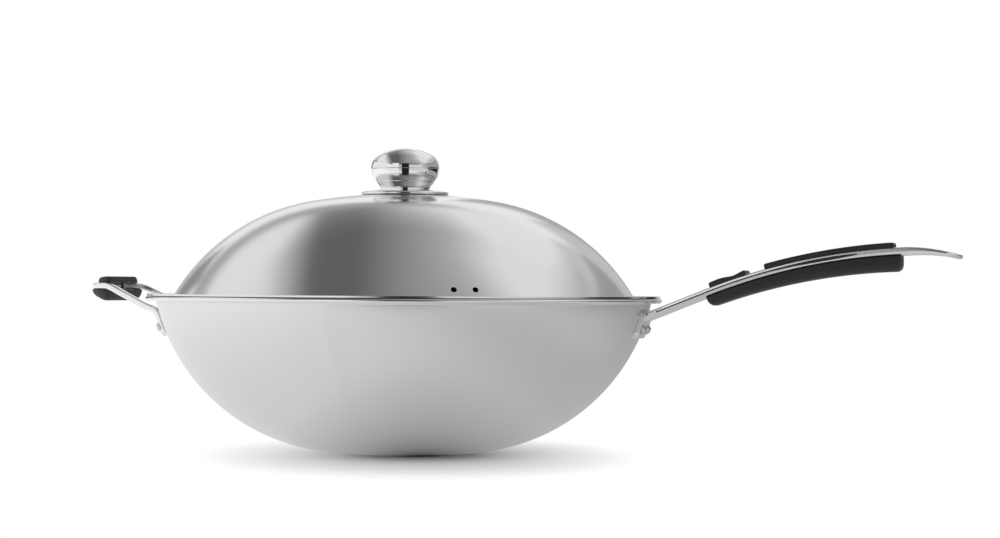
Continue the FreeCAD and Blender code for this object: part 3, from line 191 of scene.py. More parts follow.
class HelperSizes(bpy.types.PropertyGroup):
    """The helper handle's loop and pads."""
    reach: length("Reach", 0.2295, "Outer edge of the loop, from the axis")
    arc: length("Arc", 0.038, "Outer radius of the loop")
    level: length("Level", 0.1153, "Middle of the loop, above the floor")
    bar: length("Bar", 0.0043, "Height of the loop's bar")
    width: length("Width", 0.005, "Width of the loop's bar")
    bend: length("Bend", 0.207, "Where the legs begin to fall, from the axis")
    slope: turn("Slope", 26.5, "Fall of the legs")
    spread: length("Spread", 0.076, "Between the middles of the tabs")
    plate: length("Plate", 0.0036, "Thickness of the tabs")
    tab: length("Tab", 0.010, "Width of the tabs")
    top_pad: length("Top pad", 0.0044, "Height of the pad on the loop")
    base_pad: length("Base pad", 0.0081, "Depth of the pad under the loop")
    keel: length("Keel", 0.213, "Deepest line of the pad under the loop, from the axis")
    keel_rise: length("Keel rise", 0.0020, "Rise of that pad's bottom to its outer end")


class FinishChoices(bpy.types.PropertyGroup):
    """Colours and gloss of the finishes."""
    satin: colour("Satin steel", (0.74, 0.74, 0.74), "Colour of the brushed bowl")
    satin_roughness: share("Satin roughness", 0.42, "Roughness of the brushed bowl")
    buffed: length("Buffed rim", 0.1745, "Reach from the axis where the bowl's rim is buffed")
    polished: colour("Polished steel", (0.74, 0.74, 0.74), "Colour of the polished lid")
    polished_roughness: share("Lid roughness", 0.17, "Roughness of the polished lid")
    chrome: colour("Chrome", (0.80, 0.80, 0.80), "Colour of the plated knob")
    steel: colour("Handle steel", (0.86, 0.86, 0.86), "Colour of the forged handles")
    black: colour("Black plastic", (0.010, 0.010, 0.010), "Colour of the grips")
    brass: colour("Brass", (0.70, 0.50, 0.22), "Colour of the threaded insert")
    rubber: colour("Rubber", (0.035, 0.034, 0.033), "Colour of the gasket")
    core: colour("Core plastic", (0.055, 0.053, 0.050), "Colour of the knob's core")


class StageChoices(bpy.types.PropertyGroup):
    """Camera, lights and floor."""
    azimuth: turn("Azimuth", 15.0, "Camera about the axis, from the front")
    distance: length("Distance", 1.95, "Camera from the axis")
    camera_height: length("Camera height", 0.117, "Camera above the floor")
    focal: FloatProperty(name="Focal length", description="Focal length in millimetres",
                         default=99.8, min=1.0)
    yaw: turn("Yaw", 1.97, "Camera turned to its right")
    pitch: turn("Pitch", 0.35, "Camera turned up")
    roll: turn("Roll", 0.34, "Camera turned about its view")
    floor: colour("Floor", (0.82, 0.82, 0.82), "Colour of the floor")
    pool_width: length("Shadow width", 0.15, "Half width of the floor's shaded pool")
    pool_depth: length("Shadow depth", 0.26, "Half depth of the floor's shaded pool")
    pool_shift: length("Shadow shift", 0.03, "Middle of the shaded pool, in front of the axis")
    turns: IntProperty(name="Turns", description="Segments around the turned pieces",
                       default=256, min=12)


# ---------------------------------------------------------------------------------------------
# Shader expressions
# ---------------------------------------------------------------------------------------------

class Strand:
    """A socket of a finish. Arithmetic on it adds Math nodes."""

    def __init__(self, finish, socket):
        self.finish = finish
        self.socket = socket

    def math(self, operation, *values):
        """The outcome of a Math node on these values."""
        made = self.finish.node("ShaderNodeMath", {"operation": operation},
                                dict(enumerate(values)))
        return self.finish.out(made)

    def __add__(self, other):
        return self.math("ADD", self, other)

    def __radd__(self, other):
        return self.math("ADD", other, self)

    def __sub__(self, other):
        return self.math("SUBTRACT", self, other)

    def __rsub__(self, other):
        return self.math("SUBTRACT", other, self)

    def __mul__(self, other):
        return self.math("MULTIPLY", self, other)

    def __rmul__(self, other):
        return self.math("MULTIPLY", other, self)

    def __truediv__(self, other):
        return self.math("DIVIDE", self, other)

    def __rtruediv__(self, other):
        return self.math("DIVIDE", other, self)

    def __pow__(self, other):
        return self.math("POWER", self, other)

    def root(self):
        """The square root."""
        return self.math("SQRT", self)

    def at_least(self, other):
        """The larger of this and another value."""
        return self.math("MAXIMUM", self, other)

    def at_most(self, other):
        """The smaller of this and another value."""
        return self.math("MINIMUM", self, other)

    def clamped(self):
        """Held between 0 and 1."""
        return self.at_least(0.0).at_most(1.0)

    def climb(self, start, run):
        """0 up to start, and from there straight up to 1 over the run."""
        return ((self - start) / run).clamped()


class Finish:
    """A material or world under construction."""

    def __init__(self, owner):
        owner.use_nodes = True
        self.owner = owner
        self.tree = owner.node_tree
        self.tree.nodes.clear()

    def node(self, kind, settings=None, sockets=None):
        """A node with these settings, its sockets linked or set. A colour is three numbers."""
        made = self.tree.nodes.new(kind)
        for key, value in (settings or {}).items():
            if key == "stops":
                self.set_stops(made.color_ramp, value)
            else:
                setattr(made, key, value)
        for key, value in (sockets or {}).items():
            numbered = isinstance(key, int)
            socket = made.inputs[key] if numbered else self.named(made.inputs, key)
            if isinstance(value, Strand):
                self.tree.links.new(value.socket, socket)
            else:
                socket.default_value = (*value, 1.0) if socket.type == "RGBA" else value
        return made

    def set_stops(self, ramp, stops):
        """Gives a ramp its stops of (position, grey)."""
        while len(ramp.elements) < len(stops):
            ramp.elements.new(1.0)
        for element, (position, tone) in zip(ramp.elements, stops):
            element.position = position
            element.color = (tone, tone, tone, 1.0)

    def named(self, sockets, name):
        """The socket of that name that the node's settings leave in use."""
        return next(socket for socket in sockets if socket.name == name and socket.enabled)

    def out(self, node, name=None):
        """A node's outgoing socket: its first one in use, or the one of that name."""
        if name is None:
            return Strand(self, next(socket for socket in node.outputs if socket.enabled))
        return Strand(self, self.named(node.outputs, name))

    def place(self):
        """The place on the piece, in metres, as a vector."""
        return self.out(self.node("ShaderNodeTexCoord"), "Object")

    def axes(self):
        """The place on the piece, in metres, as X, Y and Z."""
        split = self.node("ShaderNodeSeparateXYZ", None, {"Vector": self.place()})
        return [self.out(split, axis) for axis in "XYZ"]

    def vector(self, x, y, z):
        """A vector from three values."""
        return self.out(self.node("ShaderNodeCombineXYZ", None, {"X": x, "Y": y, "Z": z}))

    def noise(self, vector, scale, detail=3.0, roughness=0.5):
        """Noise from 0 to 1, the same each time."""
        return self.out(self.node("ShaderNodeTexNoise", {"noise_dimensions": "3D"}, {
            "Vector": vector, "Scale": scale, "Detail": detail, "Roughness": roughness,
        }))

    def ramp(self, value, stops):
        """A ramp of greys along a value."""
        return self.out(self.node("ShaderNodeValToRGB", {"stops": stops}, {"Fac": value}), "Color")

    def blend(self, factor, first, second):
        """A colour between two others."""
        return self.out(self.node("ShaderNodeMix", {"data_type": "RGBA"},
                                  {"Factor": factor, "A": first, "B": second}), "Result")

    def bump(self, height, depth, strength=1.0):
        """A normal raised by a height, depth metres high."""
        return self.out(self.node("ShaderNodeBump", None,
                                  {"Height": height, "Distance": depth, "Strength": strength}))

    def surface(self, sockets):
        """The main shader, wired to the output."""
        shader = self.node("ShaderNodeBsdfPrincipled", None, sockets)
        self.output(self.out(shader))

    def output(self, shader):
        """Wires a shader to the output."""
        kind = "World" if isinstance(self.owner, bpy.types.World) else "Material"
        self.node(f"ShaderNodeOutput{kind}", None, {"Surface": shader})


def around_axis(finish):
    """The reach from the axis, and a vector that runs round it slowly and across it fast."""
    lines_per_metre = 260.0
    x, y, z = finish.axes()
    reach = (x * x + y * y).root().at_least(0.0001)
    return reach, finish.vector(x / reach, y / reach, (reach + z) * lines_per_metre)


def material(name):
    """A new finish of that name."""
    return Finish(bpy.data.materials.new(name))


def scaled(tint, factor):
    """A colour made lighter or darker."""
    return [part * factor for part in tint]


def satin_steel(choices):
    """Brushed steel with fine lines round the axis, a faint uneven sheen and a buffed rim."""
    finish = material("satin_steel")
    reach, rings = around_axis(finish)
    lines = finish.noise(rings, scale=9.0, detail=6.0, roughness=0.7)
    cloud = finish.noise(finish.place(), scale=14.0, detail=2.0)
    brushed = choices.satin_roughness + (lines - 0.5) * 0.10 + (cloud - 0.5) * 0.05
    buffing = choices.polished_roughness - choices.satin_roughness
    finish.surface({
        "Base Color": finish.blend(lines * 0.10 + cloud * 0.10, choices.satin,
                                   scaled(choices.satin, 1.25)),
        "Metallic": 1.0,
        "Roughness": brushed + reach.climb(choices.buffed, 0.0015) * buffing,
        "Anisotropic": 0.45,
        "Normal": finish.bump(lines, depth=0.00004, strength=0.35),
    })
    return finish.owner


def polished_steel(choices):
    """Buffed sheet: a soft mirror with faint rings from the polishing wheel."""
    finish = material("polished_steel")
    rings = around_axis(finish)[1]
    lines = finish.noise(rings, scale=6.0, detail=4.0, roughness=0.6)
    smear = finish.noise(finish.place(), scale=9.0, detail=3.0, roughness=0.6)
    finish.surface({
        "Base Color": finish.blend(smear * 0.3, choices.polished, (0.78, 0.78, 0.78)),
        "Metallic": 1.0,
        "Roughness": choices.polished_roughness + (lines - 0.5) * 0.04 + (smear - 0.5) * 0.05,
        "Anisotropic": 0.25,
        "Normal": finish.bump(lines, depth=0.00002, strength=0.12),
    })
    return finish.owner


def chrome_plate(choices):
    """Bright plating with faint smudges."""
    finish = material("chrome_plate")
    where = finish.place()
    smudge = finish.noise(where, scale=60.0, detail=4.0, roughness=0.6)
    ripple = finish.noise(where, scale=45.0, detail=1.0)
    finish.surface({
        "Base Color": finish.blend(smudge, choices.chrome, (0.74, 0.74, 0.75)),
        "Metallic": 1.0,
        "Roughness": 0.03 + smudge * 0.04,
        "Normal": finish.bump(ripple, depth=0.00003, strength=0.25),
    })
    return finish.owner


def forged_steel(choices):
    """Tumbled and polished steel of the handles, with a fine even grain."""
    finish = material("forged_steel")
    where = finish.place()
    grain = finish.noise(where, scale=420.0, detail=3.0, roughness=0.5)
    cloud = finish.noise(where, scale=40.0, detail=2.0)
    finish.surface({
        "Base Color": finish.blend(cloud, choices.steel, scaled(choices.steel, 0.9)),
        "Metallic": 1.0,
        "Roughness": 0.15 + grain * 0.08 + cloud * 0.08,
        "Normal": finish.bump(grain, depth=0.00001, strength=0.15),
    })
    return finish.owner


def fastener_steel(name, tone, roughness):
    """Steel of rivets, screws and washers, with turning marks and dull patches."""
    finish = material(name)
    where = finish.place()
    marks = finish.noise(where, scale=900.0, detail=3.0, roughness=0.6)
    cloud = finish.noise(where, scale=120.0, detail=2.0)
    finish.surface({
        "Base Color": finish.blend(cloud, [tone] * 3, [tone * 0.86] * 3),
        "Metallic": 1.0,
        "Roughness": roughness + marks * 0.10,
        "Normal": finish.bump(marks, depth=0.00002, strength=0.3),
    })
    return finish.owner


def moulded_plastic(name, tint, roughness, grain_scale, grain_depth):
    """Moulded plastic with a fine spark-eroded grain and slightly worn gloss."""
    finish = material(name)
    where = finish.place()
    grain = finish.noise(where, grain_scale, detail=4.0, roughness=0.65)
    cloud = finish.noise(where, scale=35.0, detail=2.0)
    finish.surface({
        "Base Color": finish.blend(cloud, tint, scaled(tint, 1.5)),
        "Roughness": roughness + (grain - 0.5) * 0.12 + (cloud - 0.5) * 0.08,
        "Normal": finish.bump(grain, grain_depth, strength=0.5),
    })
    return finish.owner


def turned_brass(choices):
    """Knurled brass."""
    finish = material("turned_brass")
    x, y, z = finish.axes()
    knurl = finish.noise(finish.vector(x * 40.0, y * 40.0, z * 900.0), scale=3.0, detail=3.0)
    finish.surface({
        "Base Color": finish.blend(knurl, choices.brass, scaled(choices.brass, 0.7)),
        "Metallic": 1.0,
        "Roughness": 0.25 + knurl * 0.15,
        "Normal": finish.bump(knurl, depth=0.00005, strength=0.4),
    })
    return finish.owner


# ---------------------------------------------------------------------------------------------
# Mesh tools
# ---------------------------------------------------------------------------------------------

def evenly(start, end, count):
    """The places that cut a run into this many even steps, with both its ends."""
    return [start + (end - start) * i / count for i in range(count + 1)]


def arc_between(start, end, radius, way, step):
    """The points between the two ends of an arc."""
    chord = end - start
    half = chord.length / 2
    rise = math.sqrt(max(radius * radius - half * half, 0.0))
    centre = (start + end) / 2 + Vector((-chord.y, chord.x)).normalized() * rise * way
    sweep = 2 * math.asin(min(half / radius, 1.0)) * way
    count = max(2, math.ceil(abs(sweep) / step))
    spoke = start - centre
    return [centre + Matrix.Rotation(sweep * i / count, 2) @ spoke for i in range(1, count)]


def trace(corners, step=ARC_STEP):
    """A closed profile's points. A corner is (reach, level), then the (radius, way) of an arc."""
    points = []
    for here, there in zip(corners, corners[1:] + corners[:1]):
        start, end = Vector(here[:2]), Vector(there[:2])
        points.append(start)
        if len(here) == 4:
            points.extend(arc_between(start, end, here[2], here[3], step))
    return points


def join_rings(work, here, there):
    """The faces between two rings of as many points."""
    for corners in zip(here, there, there[1:] + there[:1], here[1:] + here[:1]):
        work.faces.new(corners)


def turned(profile, turns):
    """A piece turned round the axis from a closed profile."""
    work = bmesh.new()
    spokes = []
    for i in range(turns):
        angle = 2 * math.pi * i / turns
        across, up = math.cos(angle), math.sin(angle)
        spokes.append([work.verts.new((p.x * across, p.x * up, p.y)) for p in profile])
    for here, there in zip(spokes, spokes[1:] + spokes[:1]):
        join_rings(work, here, there)
    bmesh.ops.remove_doubles(work, verts=work.verts, dist=WELD)
    bmesh.ops.recalc_face_normals(work, faces=work.faces)
    return work


def lofted(rings):
    """A skin over rings of points, with flat ends."""
    work = bmesh.new()
    rows = [[work.verts.new(point) for point in ring] for ring in rings]
    for here, there in zip(rows, rows[1:]):
        join_rings(work, here, there)
    work.faces.new(rows[0])
    work.faces.new(rows[-1][::-1])
    bmesh.ops.recalc_face_normals(work, faces=work.faces)
    return work


def make_piece(name, work, body, finish, replaced=(), crease=35.0, weigh=False):
    """Turns a mesh under construction into a finished piece on its body."""
    data = bpy.data.meshes.new(name)
    work.to_mesh(data)
    work.free()
    data.shade_smooth()
    data.set_sharp_from_angle(angle=math.radians(crease))
    thing = bpy.data.objects.new(name, data)
    bpy.context.scene.collection.objects.link(thing)
    data.materials.append(finish)
    if weigh:
        weights = thing.modifiers.new("weights", "WEIGHTED_NORMAL")
        weights.keep_sharp = True
    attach(thing, body)
    if replaced:
        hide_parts(*replaced)
    return thing


def dress(node, finish):
    """Gives a solid of the frame its finish."""
    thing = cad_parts[node]
    if not thing.material_slots:
        thing.data.materials.append(finish)
    for place in thing.material_slots:
        place.material = finish


def made_once(make, choices):
    """The finish that has the name of the function that makes it, made at its first use."""
    return bpy.data.materials.get(make.__name__) or make(choices)


# ---------------------------------------------------------------------------------------------
# Bowl, lid and knob
# ---------------------------------------------------------------------------------------------

def wall_shape(bowl):
    """The wall's arc radius, and the reach and level of the inside of the mouth."""
    flare_level = bowl.height - bowl.wall - bowl.flare
    run = bowl.side - bowl.foot
    arc = (run * run + flare_level * flare_level) / (2 * flare_level)
    mouth_level = bowl.height - bowl.flare
    mouth = bowl.foot + math.sqrt((arc - bowl.wall) ** 2 - (arc - mouth_level) ** 2)
    return arc, flare_level, mouth, mouth_level


def bowl_profile(bowl):
    """The bowl's section: foot, wall, flared rim with its bead, and the inside."""
    arc, flare_level, mouth, mouth_level = wall_shape(bowl)
    bead = (bowl.wall + bowl.lip) / 2
    bead_middle = bowl.rim - bead
    notch = math.sqrt(bowl.wall * bowl.lip)
    return trace([
        (0.0, 0.0),
        (bowl.foot, 0.0, arc, CCW),
        (bowl.side, flare_level, bowl.flare, CW),
        (bowl.side + bowl.flare, bowl.height - bowl.wall),
        (bead_middle - notch, bowl.height - bowl.wall, bead, CCW),
        (bead_middle, bowl.height - 2 * bead, bead, CCW),
        (bowl.rim, bowl.height - bead, bead, CCW),
        (bead_middle, bowl.height),
        (mouth + bowl.flare, bowl.height, bowl.flare, CCW),
        (mouth, mouth_level, arc - bowl.wall, CW),
        (bowl.foot, bowl.wall),
        (0.0, bowl.wall),
    ])


def dome_shape(lid, bowl):
    """The dome's foot, shoulder radius, shoulder centre and crown centre level."""
    mouth = wall_shape(bowl)[2]
    upper = bowl.height + lid.gap + lid.sheet
    foot = mouth - lid.play - lid.bead - lid.slant - lid.shelf
    fall = math.sin(lid.foot_turn) - math.sin(lid.crown_turn)
    shoulder = (foot - lid.crown * math.sin(lid.crown_turn)) / fall
    middle = (lid.crown - shoulder) * math.sin(lid.crown_turn)
    shoulder_level = upper - shoulder * math.cos(lid.foot_turn)
    crown_level = shoulder_level - (lid.crown - shoulder) * math.cos(lid.crown_turn)
    return foot, shoulder, middle, shoulder_level, crown_level


def lid_profile(lid, bowl):
    """The lid's section: dome, flange and locating bead."""
    foot, shoulder, middle, shoulder_level, crown_level = dome_shape(lid, bowl)
    mouth = wall_shape(bowl)[2]
    under = bowl.height + lid.gap
    upper = under + lid.sheet
    outer = mouth - lid.play
    inner = outer - lid.bead
    slope = math.hypot(lid.bead, lid.slant)
    skew = lid.sheet * (slope - lid.slant) / lid.bead

    def on_shoulder(angle, inward):
        return (middle + (shoulder - inward) * math.sin(angle),
                shoulder_level + (shoulder - inward) * math.cos(angle))

    return trace([
        (0.0, crown_level + lid.crown - lid.sheet, lid.crown - lid.sheet, CW),
        (*on_shoulder(lid.crown_turn, lid.sheet), shoulder - lid.sheet, CW),
        on_shoulder(lid.foot_turn, lid.sheet),
        (foot - lid.sheet * math.tan(lid.foot_turn / 2), under),
        (inner - lid.slant + lid.sheet - skew, under),
        (inner + lid.sheet - skew, under - lid.bead),
        (outer - lid.sheet + skew, under - lid.bead),
        (outer + lid.slant - lid.sheet + skew, under),
        (lid.edge, under),
        (lid.edge, upper),
        (outer + lid.slant - lid.sheet, upper),
        (outer - lid.sheet, upper - lid.bead),
        (inner + lid.sheet, upper - lid.bead),
        (inner - lid.slant + lid.sheet, upper),
        (foot, upper, shoulder, CCW),
        (*on_shoulder(lid.crown_turn, 0.0), lid.crown, CCW),
        (0.0, crown_level + lid.crown),
    ], DOME_STEP)


def cut_vents(thing, lid, bowl):
    """Drills the two steam vents square to the dome."""
    _, shoulder, middle, shoulder_level, _ = dome_shape(lid, bowl)
    upper = bowl.height + lid.gap + lid.sheet
    tilt = math.acos((lid.vent_rise + upper - shoulder_level) / shoulder)
    cutters = bmesh.new()
    for side in SIDES:
        azimuth = lid.vent_azimuth + side * lid.vent_spread / 2
        place = (Matrix.Rotation(azimuth, 4, "Z")
                 @ Matrix.Translation((middle + shoulder * math.sin(tilt), 0.0,
                                       shoulder_level + shoulder * math.cos(tilt)))
                 @ Matrix.Rotation(tilt, 4, "Y"))
        bmesh.ops.create_cone(cutters, cap_ends=True, segments=32, radius1=lid.vent,
                              radius2=lid.vent, depth=10 * lid.sheet, matrix=place)
    data = bpy.data.meshes.new("vent_drill")
    cutters.to_mesh(data)
    cutters.free()
    drill = bpy.data.objects.new("vent_drill", data)
    bpy.context.scene.collection.objects.link(drill)
    cut = thing.modifiers.new("vents", "BOOLEAN")
    cut.operation = "DIFFERENCE"
    cut.solver = "EXACT"
    cut.object = drill
    bpy.context.view_layer.update()
    graph = bpy.context.evaluated_depsgraph_get()
    drilled = bpy.data.meshes.new_from_object(thing.evaluated_get(graph))
    thing.modifiers.remove(cut)
    bpy.data.objects.remove(drill)
    old = thing.data
    thing.data = drilled
    drilled.name = old.name + "_drilled"
    bpy.data.meshes.remove(old)
    if not drilled.materials:
        raise RuntimeError("the drilled lid has lost its finish")


def true_dome_normals(data, lid, bowl):
    """Sets the dome's normals from its own arcs, so that no facets show round the vents."""
    foot, shoulder, middle, shoulder_level, crown_level = dome_shape(lid, bowl)
    turn_reach = middle + shoulder * math.sin(lid.crown_turn)
    upper = bowl.height + lid.gap + lid.sheet
    least_facing = 0.9  # the walls of the vents face less along the dome's own way

    def outward(point):
        reach = math.hypot(point.x, point.y)
        if reach < turn_reach:
            return Vector((point.x, point.y, point.z - crown_level)).normalized()
        spoke = Vector((point.x, point.y, 0.0)) / reach
        rise = Vector((0.0, 0.0, point.z - shoulder_level))
        return (spoke * (reach - middle) + rise).normalized()

    normals = [corner.vector.copy() for corner in data.corner_normals]
    for face in data.polygons:
        centre = face.center
        if math.hypot(centre.x, centre.y) > foot or centre.z < upper - lid.sheet:
            continue
        facing = face.normal.dot(outward(centre))
        if abs(facing) < least_facing:
            continue
        for corner in face.loop_indices:
            point = data.vertices[data.loops[corner].vertex_index].co
            normals[corner] = outward(point) * math.copysign(1.0, facing)
    data.normals_split_custom_set(normals)


# The cup's side from its foot to the seam, with two fine rings turned into it: shares of how high
# it rises and how far it swells.
CUP_SIDE = (
    (0.000, 0.000), (0.055, 0.010), (0.065, 0.060), (0.105, 0.085), (0.190, 0.205), (0.290, 0.395),
    (0.375, 0.520), (0.385, 0.500), (0.400, 0.500), (0.410, 0.555), (0.500, 0.700), (0.600, 0.820),
    (0.700, 0.905), (0.800, 0.955), (0.900, 0.985), (1.000, 1.000),
)


def cup_profile(knob):
    """The knob's lower shell."""
    inner = knob.neck * 0.5
    shoulder = 0.0008
    low, high = knob.foot, knob.seam - HAIR
    rise = high - low
    side = knob.radius - knob.roll / 2
    swell = side - knob.neck
    outer = [Vector((knob.neck + swell * out, low + rise * up)) for up, out in CUP_SIDE]
    return [Vector((inner, low)), *outer, Vector((side - shoulder, high)), Vector((inner, high))]


def cap_profile(knob):
    """The knob's upper shell: a rolled seam, a round side and a flatter crown."""
    tilt = math.radians(30.0)
    foot = knob.seam + knob.roll
    height = knob.top - foot
    mix = math.sin(tilt) + math.cos(tilt) - 1
    crown = (knob.radius * math.cos(tilt) - height * (1 - math.sin(tilt))) / mix
    side = (height * math.sin(tilt) - knob.radius * (1 - math.cos(tilt))) / mix
    return trace([
        (0.0, knob.seam),
        (knob.radius - knob.roll / 3, knob.seam),
        (knob.radius, knob.seam + knob.roll / 3),
        (knob.radius, foot, side, CCW),
        (crown * math.sin(tilt), knob.top - crown + crown * math.cos(tilt), crown, CCW),
        (0.0, knob.top),
    ])


def rosette_profile(knob, underside):
    """The polished cone with its round brim."""
    bore = 0.004
    cone_foot = 1.06  # times the brim's thickness, above the underside
    throat = ((0.0030, 0.00055), (0.0013, 0.00020), (0.0004, 0.0))  # (past the neck, below the top)
    top = knob.foot - HAIR
    brim = knob.brim
    middle = underside + brim / 2
    bead = [(knob.rosette - brim * (1 - math.cos(angle)) / 2, middle + brim / 2 * math.sin(angle))
            for angle in [math.pi * (i / 10 - 0.5) for i in range(11)]]
    return [Vector(point) for point in [
        (bore, top - brim),
        (knob.neck - brim, top - brim),
        (knob.rosette - 3 * brim, underside),
        *bead,
        (knob.rosette - brim, underside + brim * cone_foot),
        *[(knob.neck + out, top - down) for out, down in throat],
        (bore, top),
    ]]


# ---------------------------------------------------------------------------------------------
# Long handle
# ---------------------------------------------------------------------------------------------

class BarLine:
    """The middle line of the long handle's bars, seen from the side."""

    def __init__(self, handle):
        self.handle = handle
        self.bend_level = handle.root_level + (handle.bend - handle.root) * math.tan(handle.slope)
        self.middle = handle.bend + handle.grip_arc * math.sin(handle.slope)
        self.centre = self.bend_level - handle.grip_arc * math.cos(handle.slope)
        self.end_slope = math.asin((self.middle - handle.grip_end) / handle.grip_arc)
        self.tip_middle = handle.grip_end + handle.tip_arc * math.sin(self.end_slope)
        closer = handle.grip_arc - handle.tip_arc
        self.tip_centre = self.centre + closer * math.cos(self.end_slope)

    def at(self, reach):
        """The level and slope of the middle line at a reach."""
        handle = self.handle
        if reach < handle.bend:
            return handle.root_level + (reach - handle.root) * math.tan(handle.slope), handle.slope
        if reach < handle.grip_end:
            slope = math.asin((self.middle - reach) / handle.grip_arc)
            return self.centre + handle.grip_arc * math.cos(slope), slope
        slope = math.asin((self.tip_middle - reach) / handle.tip_arc)
        return self.tip_centre + handle.tip_arc * math.cos(slope), slope

    def half(self, reach):
        """Half of the bars' height at a reach."""
        handle = self.handle
        along = min(max((reach - handle.grip_end) / (handle.tip - handle.grip_end), 0.0), 1.0)
        return (handle.bar + (handle.tip_bar - handle.bar) * along) / 2

    def above(self, reach, side, out):
        """A point square above the middle line at a reach, side metres along Y."""
        up, slope = self.at(reach)
        return Vector((reach - out * math.sin(slope), side, up + out * math.cos(slope)))


def rail_path(handle):
    """Pairs of (inner, outer) places in the plan, along one rail, round the tip and back."""
    behind_root = 0.006
    rail_steps, tip_steps = 110, 48
    half = handle.width / 2
    slot = half - handle.rail
    slot_middle = handle.tip - handle.bridge - slot
    nose_middle = handle.tip - half
    start = handle.root - behind_root
    pairs = [((reach, -slot), (reach, -half)) for reach in evenly(start, slot_middle, rail_steps)]
    straight = nose_middle - slot_middle
    around = math.pi * half
    for i in range(1, tip_steps):
        along = i / tip_steps
        run = along * (2 * straight + around)
        if run < straight:
            outer = (slot_middle + run, -half)
        elif run < straight + around:
            swing = (run - straight) / half
            outer = (nose_middle + half * math.sin(swing), -half * math.cos(swing))
        else:
            outer = (nose_middle - (run - straight - around), half)
        swing = math.pi * along
        pairs.append(((slot_middle + slot * math.sin(swing), -slot * math.cos(swing)), outer))
    pairs += [((reach, slot), (reach, half)) for reach in evenly(slot_middle, start, rail_steps)]
    return pairs


def bar_section(width, half, rounding, steps=5):
    """A bar's section: (share of the width from the inner side, height), with rounded corners."""
    most = 0.95  # share of half the height that a corner may take
    rounding = min(rounding, half * most)
    side, top = width - rounding, half - rounding
    corners = ((side, top, 0.0), (rounding, top, QUARTER), (rounding, -top, 2 * QUARTER),
               (side, -top, 3 * QUARTER))
    points = []
    for across, up, begin in corners:
        for i in range(steps + 1):
            angle = begin + i / steps * QUARTER
            points.append(((across + rounding * math.cos(angle)) / width,
                           up + rounding * math.sin(angle)))
    return points


# A rail's round belly below its ridge: (in from the ridge, share of half the bar's height).
BELLY = ((0.00012, 0.2), (0.00030, 0.45), (0.00062, 0.68), (0.00105, 0.86), (0.0017, 0.97),
         (0.0023, 1.0))


def rail_section(handle, width, half):
    """A rail's section: a lean band above the ridge on the outer side, and a belly below it."""
    lean = 0.0003
    corner = handle.rounding * 0.6
    ridge = handle.ridge * (half / (handle.bar / 2))
    side = [(lean, half - corner), (0.0, ridge), (0.00004, ridge * 0.5),
            *[(inset, -down * half) for inset, down in BELLY]]
    outer = [((width - inset) / width, up) for inset, up in reversed(side)]
    top = [((width - lean - corner * (1 - math.cos(angle))) / width,
            half - corner * (1 - math.sin(angle)))
           for angle in (0.4, 0.8, 1.2, 1.57)]
    second_corner, fourth_corner = 6, 18  # where their points begin in a bar's section
    inner = bar_section(width, half, handle.rounding)[second_corner:fourth_corner]
    return outer + top + inner


def rail_rings(handle):
    """The rings of the hairpin of two rails."""
    line = BarLine(handle)
    rings = []
    for inner, outer in rail_path(handle):
        inner, outer = Vector(inner), Vector(outer)
        middle = (inner + outer) / 2
        half = line.half(middle.x)
        ring = []
        for across, up in rail_section(handle, (outer - inner).length, half):
            spot = inner.lerp(outer, across)
            ring.append(line.above(spot.x, spot.y, up))
        rings.append(ring)
    return rings


def lens_bow(along):
    """The lens's height along its length, from 0 to 1: a long fine start and a blunt far end."""
    fine_start, blunt_end = 1.6, 0.9
    skew = min(max(along, 0.0), 1.0) ** fine_start
    return math.sin(math.pi * skew) ** blunt_end if 0.0 < skew < 1.0 else 0.0


def inlay_rings(handle, side):
    """The rings of the dark line of painted shade along a rail's ridge, which swells into a lens."""
    count = 160
    past_root, depth, height, bulge, rise = 0.0045, 0.0007, 0.00008, 0.00004, 0.00035
    last_thick = 0.3  # share of the line's width at its far end
    line = BarLine(handle)
    face = side * (handle.width / 2)
    deep, proud = face - side * depth, face + side * height
    rings = []
    # From the root to the lens start, the dark line is painted shade along the ridge.
    for i, reach in enumerate(evenly(handle.root + past_root, handle.lens_end, count)):
        bow = lens_bow((reach - handle.lens_start) / (handle.lens_end - handle.lens_start))
        thick = handle.line * (1.0 if i < count else last_thick)
        high = handle.ridge + thick / 2 + rise * bow
        low = handle.ridge - thick / 2 - (handle.lens - thick - rise) * bow
        rings.append([line.above(reach, deep, low), line.above(reach, proud, low),
                      line.above(reach, proud + side * bulge * bow, (low + high) / 2),
                      line.above(reach, proud, high), line.above(reach, deep, high)])
    return rings


def pad_section(half_width, near, far, edge, steps=6):
    """A pad's section as (side, height): square near the bars, round-edged away from them."""
    most = 0.98  # share of the depth that an edge may take
    way = 1.0 if far > near else -1.0
    edge = min(edge, abs(far - near) * most)
    points = [(-half_width, near), (half_width, near)]
    for begin, middle in ((0.0, half_width - edge), (QUARTER, edge - half_width)):
        for angle in evenly(begin, begin + QUARTER, steps):
            points.append((middle + edge * math.cos(angle),
                           far - way * edge * (1 - math.sin(angle))))
    return points


def pad_on_bar(line, start, end, near, far, half_width, edge, end_edge, stations=40):
    """A pad along the bars, rounded at its ends. far gives its face's height along its length."""
    end_steps, most = 7, 0.9  # the share of the height that an end may take off
    span = end - start
    turn_in = [end_edge * (1 - math.cos(angle)) for angle in evenly(0.0, QUARTER, end_steps)[:-1]]
    middle = [end_edge + (span - 2 * end_edge) * i / stations for i in range(stations + 1)]
    rings = []
    for spot in turn_in + middle + [span - run for run in reversed(turn_in)]:
        off = min(spot, span - spot)
        drop = end_edge - math.sqrt(max(end_edge ** 2 - max(end_edge - off, 0.0) ** 2, 0.0))
        face = far(spot / span)
        way = 1.0 if face > near else -1.0
        face -= way * min(drop, abs(face - near) * most)
        rings.append([line.above(start + spot, side, up)
                      for side, up in pad_section(half_width, near, face, edge)])
    return lofted(rings)


